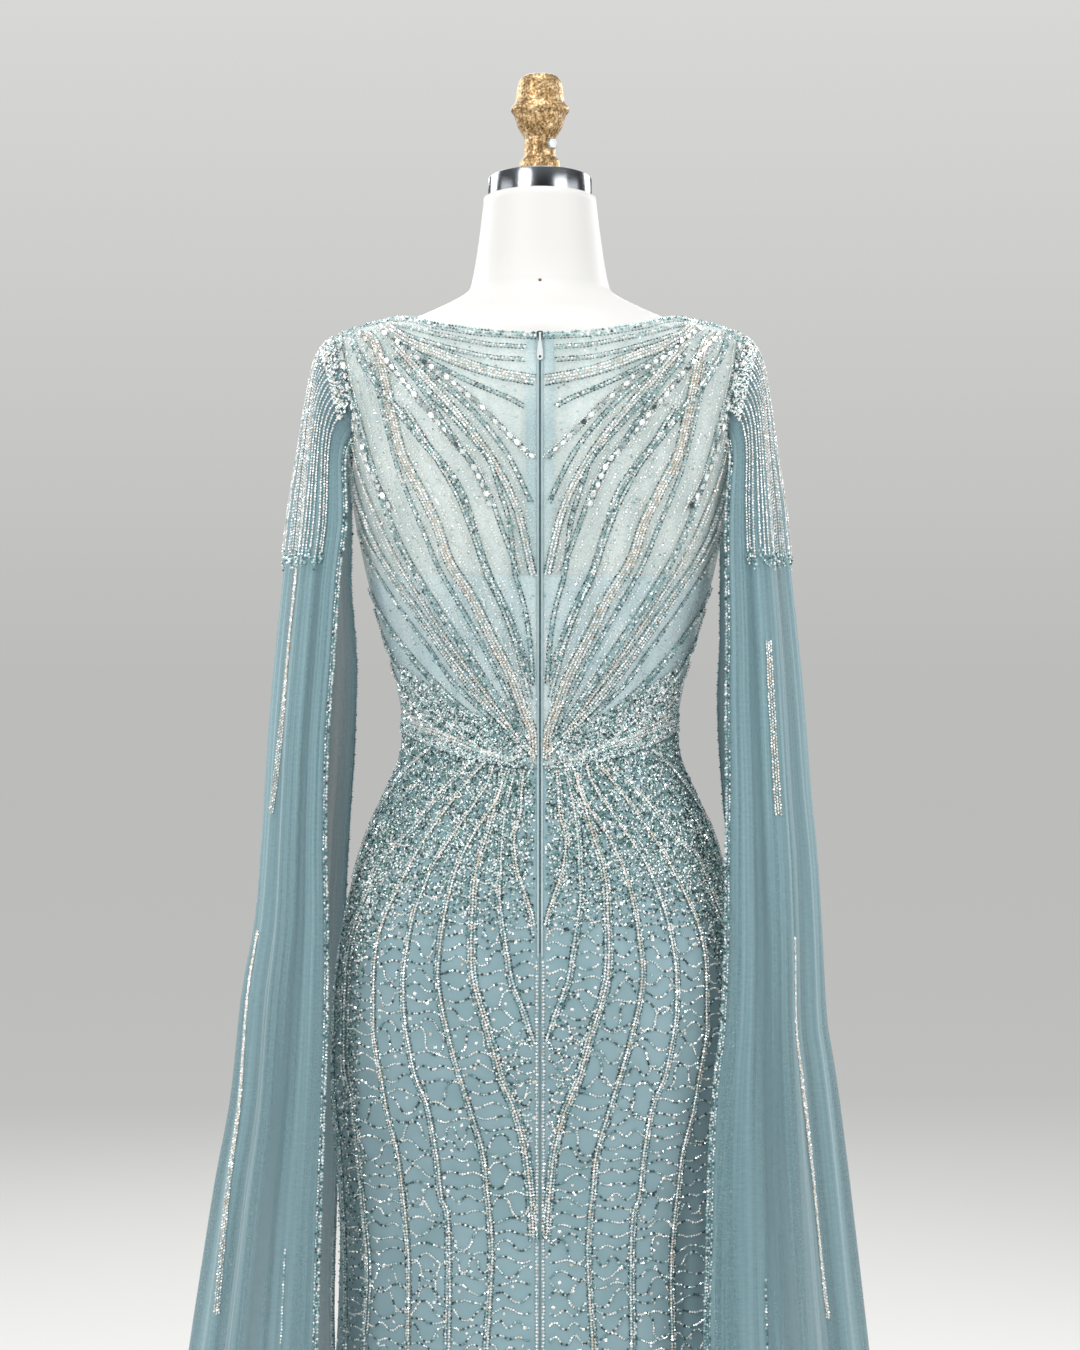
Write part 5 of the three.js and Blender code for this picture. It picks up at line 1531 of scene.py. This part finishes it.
class GOWN_OT_skirt_beads(GownOperator):
    """Sews the bead lines, wandering strings, sequins and single beads on the skirt"""

    bl_idname = "gown.skirt_beads"
    bl_label = "Skirt Beads"

    def make(self, scene):
        for panel, side, front in (
            ("back_left", 1, False), ("back_right", -1, False), ("front_left", 1, True),
            ("front_right", -1, True),
        ):
            rng = np.random.default_rng(71 + len(panel) + (5 if side > 0 else 0))
            seeds, greens = Tray(), Tray()
            skirt_beads(side, front, rng, seeds, greens)
            for tray, kind in ((seeds, "beads"), (greens, "green")):
                tray.sewn(f"skirt_{panel}_{kind}", kind)
        # A row of silver seed beads down each side of the centre-back seam, under the zip
        rng = np.random.default_rng(5)
        tray = Tray()
        for side in (1, -1):
            z = np.arange(ZIP_END - 6, 120, -6.0)
            path = np.column_stack((np.full(len(z), 2.7), z))
            bead_line(tray, on_gown(skirt, False, side), path, rng, SILVER, 1, (2.6, 2.8, 1.8), 1, 2.9)
        tray.sewn("centre_back_beads", "beads")


# Bars of beads on the sleeves: side, x and height of both ends, rows, tones
SLEEVE_BARS = [
    ("left", (205, 1229), (227, 1020), 3, WARM), ("left", (241, 920), (273, 597), 3, WARM),
    ("left", (211, 664), (214, 430), 1, AQUA), ("left", (262, 470), (286, 190), 2, WARM),
    ("right", (191, 1167), (199, 1020), 3, WARM), ("right", (209, 918), (239, 597), 3, WARM),
    ("right", (222, 470), (246, 190), 2, WARM), ("right", (186, 640), (190, 420), 1, AQUA),
]


class GOWN_OT_sleeve_beads(GownOperator):
    """Sews the scalloped edges and the bars of beads on the sleeves"""

    bl_idname = "gown.sleeve_beads"
    bl_label = "Sleeve Beads"

    def make(self, scene):
        for name in SIDES:
            rng = np.random.default_rng(91 + SIDES[name])
            tray = Tray()
            locate = on_sleeve(name)
            for share in (0.004, 0.996):
                z = np.linspace(sleeve_top(share) - 2, SLEEVE_HEM + 2, 500)
                path = np.column_stack((np.full(len(z), share), z))
                bead_line(tray, locate, path, rng, AQUA, 1, (3.0, 2.9, 2.6), 1, 2.7)
                inner = path + np.array([0.008 if share < 0.5 else -0.008, 0.0])
                bead_line(tray, locate, inner, rng, MIXED, 2, (2.2, 2.0, 1.6), 2.2, 2.5, fade=0.1)
            shares = np.linspace(0.005, 0.995, 300)
            hem = np.column_stack((shares, np.full(300, SLEEVE_HEM + 2.5)))
            bead_line(tray, locate, hem, rng, AQUA, 1, (2.6, 2.4, 2.0), 1, 3.0)
            for bar_side, (x0, z0), (x1, z1), rows, tones in SLEEVE_BARS:
                if bar_side != name:
                    continue
                z = np.linspace(z0, z1, 60)
                xs = np.linspace(x0, x1, 60) * SIDES[name]
                share = np.array([share_at(name, x, height) for x, height in zip(xs, z)])
                share = np.polyval(np.polyfit(z, share, 1), z)
                for back in (True, False):
                    path = np.column_stack((share if back else 1 - share, z))
                    bead_line(tray, locate, path, rng, tones, rows, (2.6, 2.4, 2.0), 2.5, 2.6)
            tray.sewn(f"sleeve_{name}_beads", "beads")


class GOWN_OT_stage(GownOperator):
    """Makes the plain floor, the pale surroundings, the soft lights and the camera"""

    bl_idname = "gown.stage"
    bl_label = "Stage"

    def make(self, scene):
        radius, around = scene.gown_sizes.floor_radius * 1000, 128
        turn = np.linspace(0, 2 * np.pi, around, endpoint=False)
        mesh = bpy.data.meshes.new("studio_floor")
        points = np.column_stack((radius * np.cos(turn), radius * np.sin(turn), np.full(around, -0.5))) / 1000
        mesh.from_pydata(points.tolist(), [], [list(range(around))])
        floor = bpy.data.objects.new("studio_floor", mesh)
        scene.collection.objects.link(floor)
        material, tree = new_material("matt studio paint")
        finish_material(tree, {
            "Base Color": linear("#A6A6A4"), "Roughness": 0.9, "Specular IOR Level": 0.1,
            "Emission Color": tuple(scene.gown_colours.floor), "Emission Strength": 0.52,
        })
        mesh.materials.append(material)
        self.surroundings(scene)
        scene.view_settings.view_transform = "Standard"
        # Soft lights: name, place, size, share of the key's power
        key = scene.gown_sizes.light
        for name, where, size, share in (
            ("key", (2.1, 3.0, 2.7), 1.6, 1.0), ("fill", (-2.6, 2.4, 1.9), 1.8, 0.6),
            ("rim left", (2.4, -1.8, 2.4), 1.4, 0.5), ("rim right", (-2.2, -2.2, 2.2), 1.4, 0.5),
            ("front", (0.5, -4.4, 3.4), 2.4, 0.9), ("top", (0.0, 0.3, 4.4), 1.8, 0.6),
            ("low fill", (-3.6, 0.8, 1.5), 2.0, 0.25), ("low fill two", (3.6, 0.6, 1.5), 2.0, 0.25),
        ):
            data = bpy.data.lights.new(name, "AREA")
            data.shape, data.size, data.energy = "SQUARE", size, key * share
            light = bpy.data.objects.new(name, data)
            scene.collection.objects.link(light)
            light.location = where
            aim = np.array([0.0, 0.0, 1.0]) - np.array(where)
            light.rotation_euler = (
                float(np.arctan2(np.hypot(aim[0], aim[1]), -aim[2])), 0.0,
                float(np.arctan2(-aim[0], aim[1])),
            )
            light.visible_camera = False
        data = bpy.data.cameras.new("photo view")
        data.lens, data.sensor_width = 93.02, 36.0
        camera = bpy.data.objects.new("photo view", data)
        scene.collection.objects.link(camera)
        camera.location = (0.0, 3.0, 1.1374)
        camera.rotation_euler = (np.pi / 2, 0.0, np.pi)
        scene.camera = camera

    def surroundings(self, scene):
        """The camera sees one pale tone; beads and metal see a studio that is bright above and dim below."""
        world = bpy.data.worlds.new("studio")
        scene.world = world
        world.use_nodes = True
        tree = world.node_tree
        tree.nodes.clear()
        ray = add_node(tree, "ShaderNodeTexCoord").outputs["Generated"]
        height = add_node(tree, "ShaderNodeSeparateXYZ", {"Vector": ray}).outputs["Z"]
        level = add_node(tree, "ShaderNodeMapRange", {"Value": height, "From Min": -1.0, "From Max": 1.0})
        studio = colours(tree, level.outputs["Result"], [
            (0.0, "#7A7C7C"), (0.44, "#8E9090"), (0.52, "#3E4244"), (0.66, "#54585A"), (0.78, "#F4F5F5"),
            (0.9, "#FFFFFF"),
        ])
        fade = add_node(tree, "ShaderNodeMapRange", {"Value": height, "From Min": 0.0, "From Max": 0.25})
        backdrop = add_node(
            tree, "ShaderNodeMix",
            {
                0: fade.outputs["Result"], 6: tuple(scene.gown_colours.far_floor),
                7: tuple(scene.gown_colours.backdrop),
            },
            data_type="RGBA",
        ).outputs[2]
        seen = add_node(tree, "ShaderNodeBackground", {"Color": backdrop, "Strength": 1.0}).outputs[0]
        lit = add_node(tree, "ShaderNodeBackground", {"Color": studio, "Strength": 0.4}).outputs[0]
        path = add_node(tree, "ShaderNodeLightPath").outputs["Is Camera Ray"]
        mixed = add_node(tree, "ShaderNodeMixShader", {0: path, 1: lit, 2: seen}).outputs[0]
        add_node(tree, "ShaderNodeOutputWorld", {"Surface": mixed})


class GOWN_PT_panel(bpy.types.Panel):
    """Lists the gown's operators and its settings"""

    bl_idname = "GOWN_PT_panel"
    bl_label = "Gown"
    bl_space_type = "VIEW_3D"
    bl_region_type = "UI"
    bl_category = "Gown"

    def draw(self, context):
        for operator in OPERATORS:
            self.layout.operator(operator.bl_idname)
        for settings in (context.scene.gown_sizes, context.scene.gown_colours):
            for name in settings.__annotations__:
                self.layout.prop(settings, name)


OPERATORS = (
    GOWN_OT_stage, GOWN_OT_dress_form, GOWN_OT_linings, GOWN_OT_bodice, GOWN_OT_skirt, GOWN_OT_sleeves,
    GOWN_OT_fringe, GOWN_OT_zip, GOWN_OT_bodice_beads, GOWN_OT_skirt_beads, GOWN_OT_sleeve_beads,
)
CLASSES = (GownColours, GownSizes, *OPERATORS, GOWN_PT_panel)


def register():
    for item in CLASSES:
        bpy.utils.register_class(item)
    bpy.types.Scene.gown_colours = bpy.props.PointerProperty(type=GownColours)
    bpy.types.Scene.gown_sizes = bpy.props.PointerProperty(type=GownSizes)


def unregister():
    del bpy.types.Scene.gown_sizes
    del bpy.types.Scene.gown_colours
    for item in reversed(CLASSES):
        bpy.utils.unregister_class(item)


def main():
    register()
    for operator in OPERATORS:
        group, name = operator.bl_idname.split(".")
        getattr(getattr(bpy.ops, group), name)()


if __name__ == "__main__":
    main()
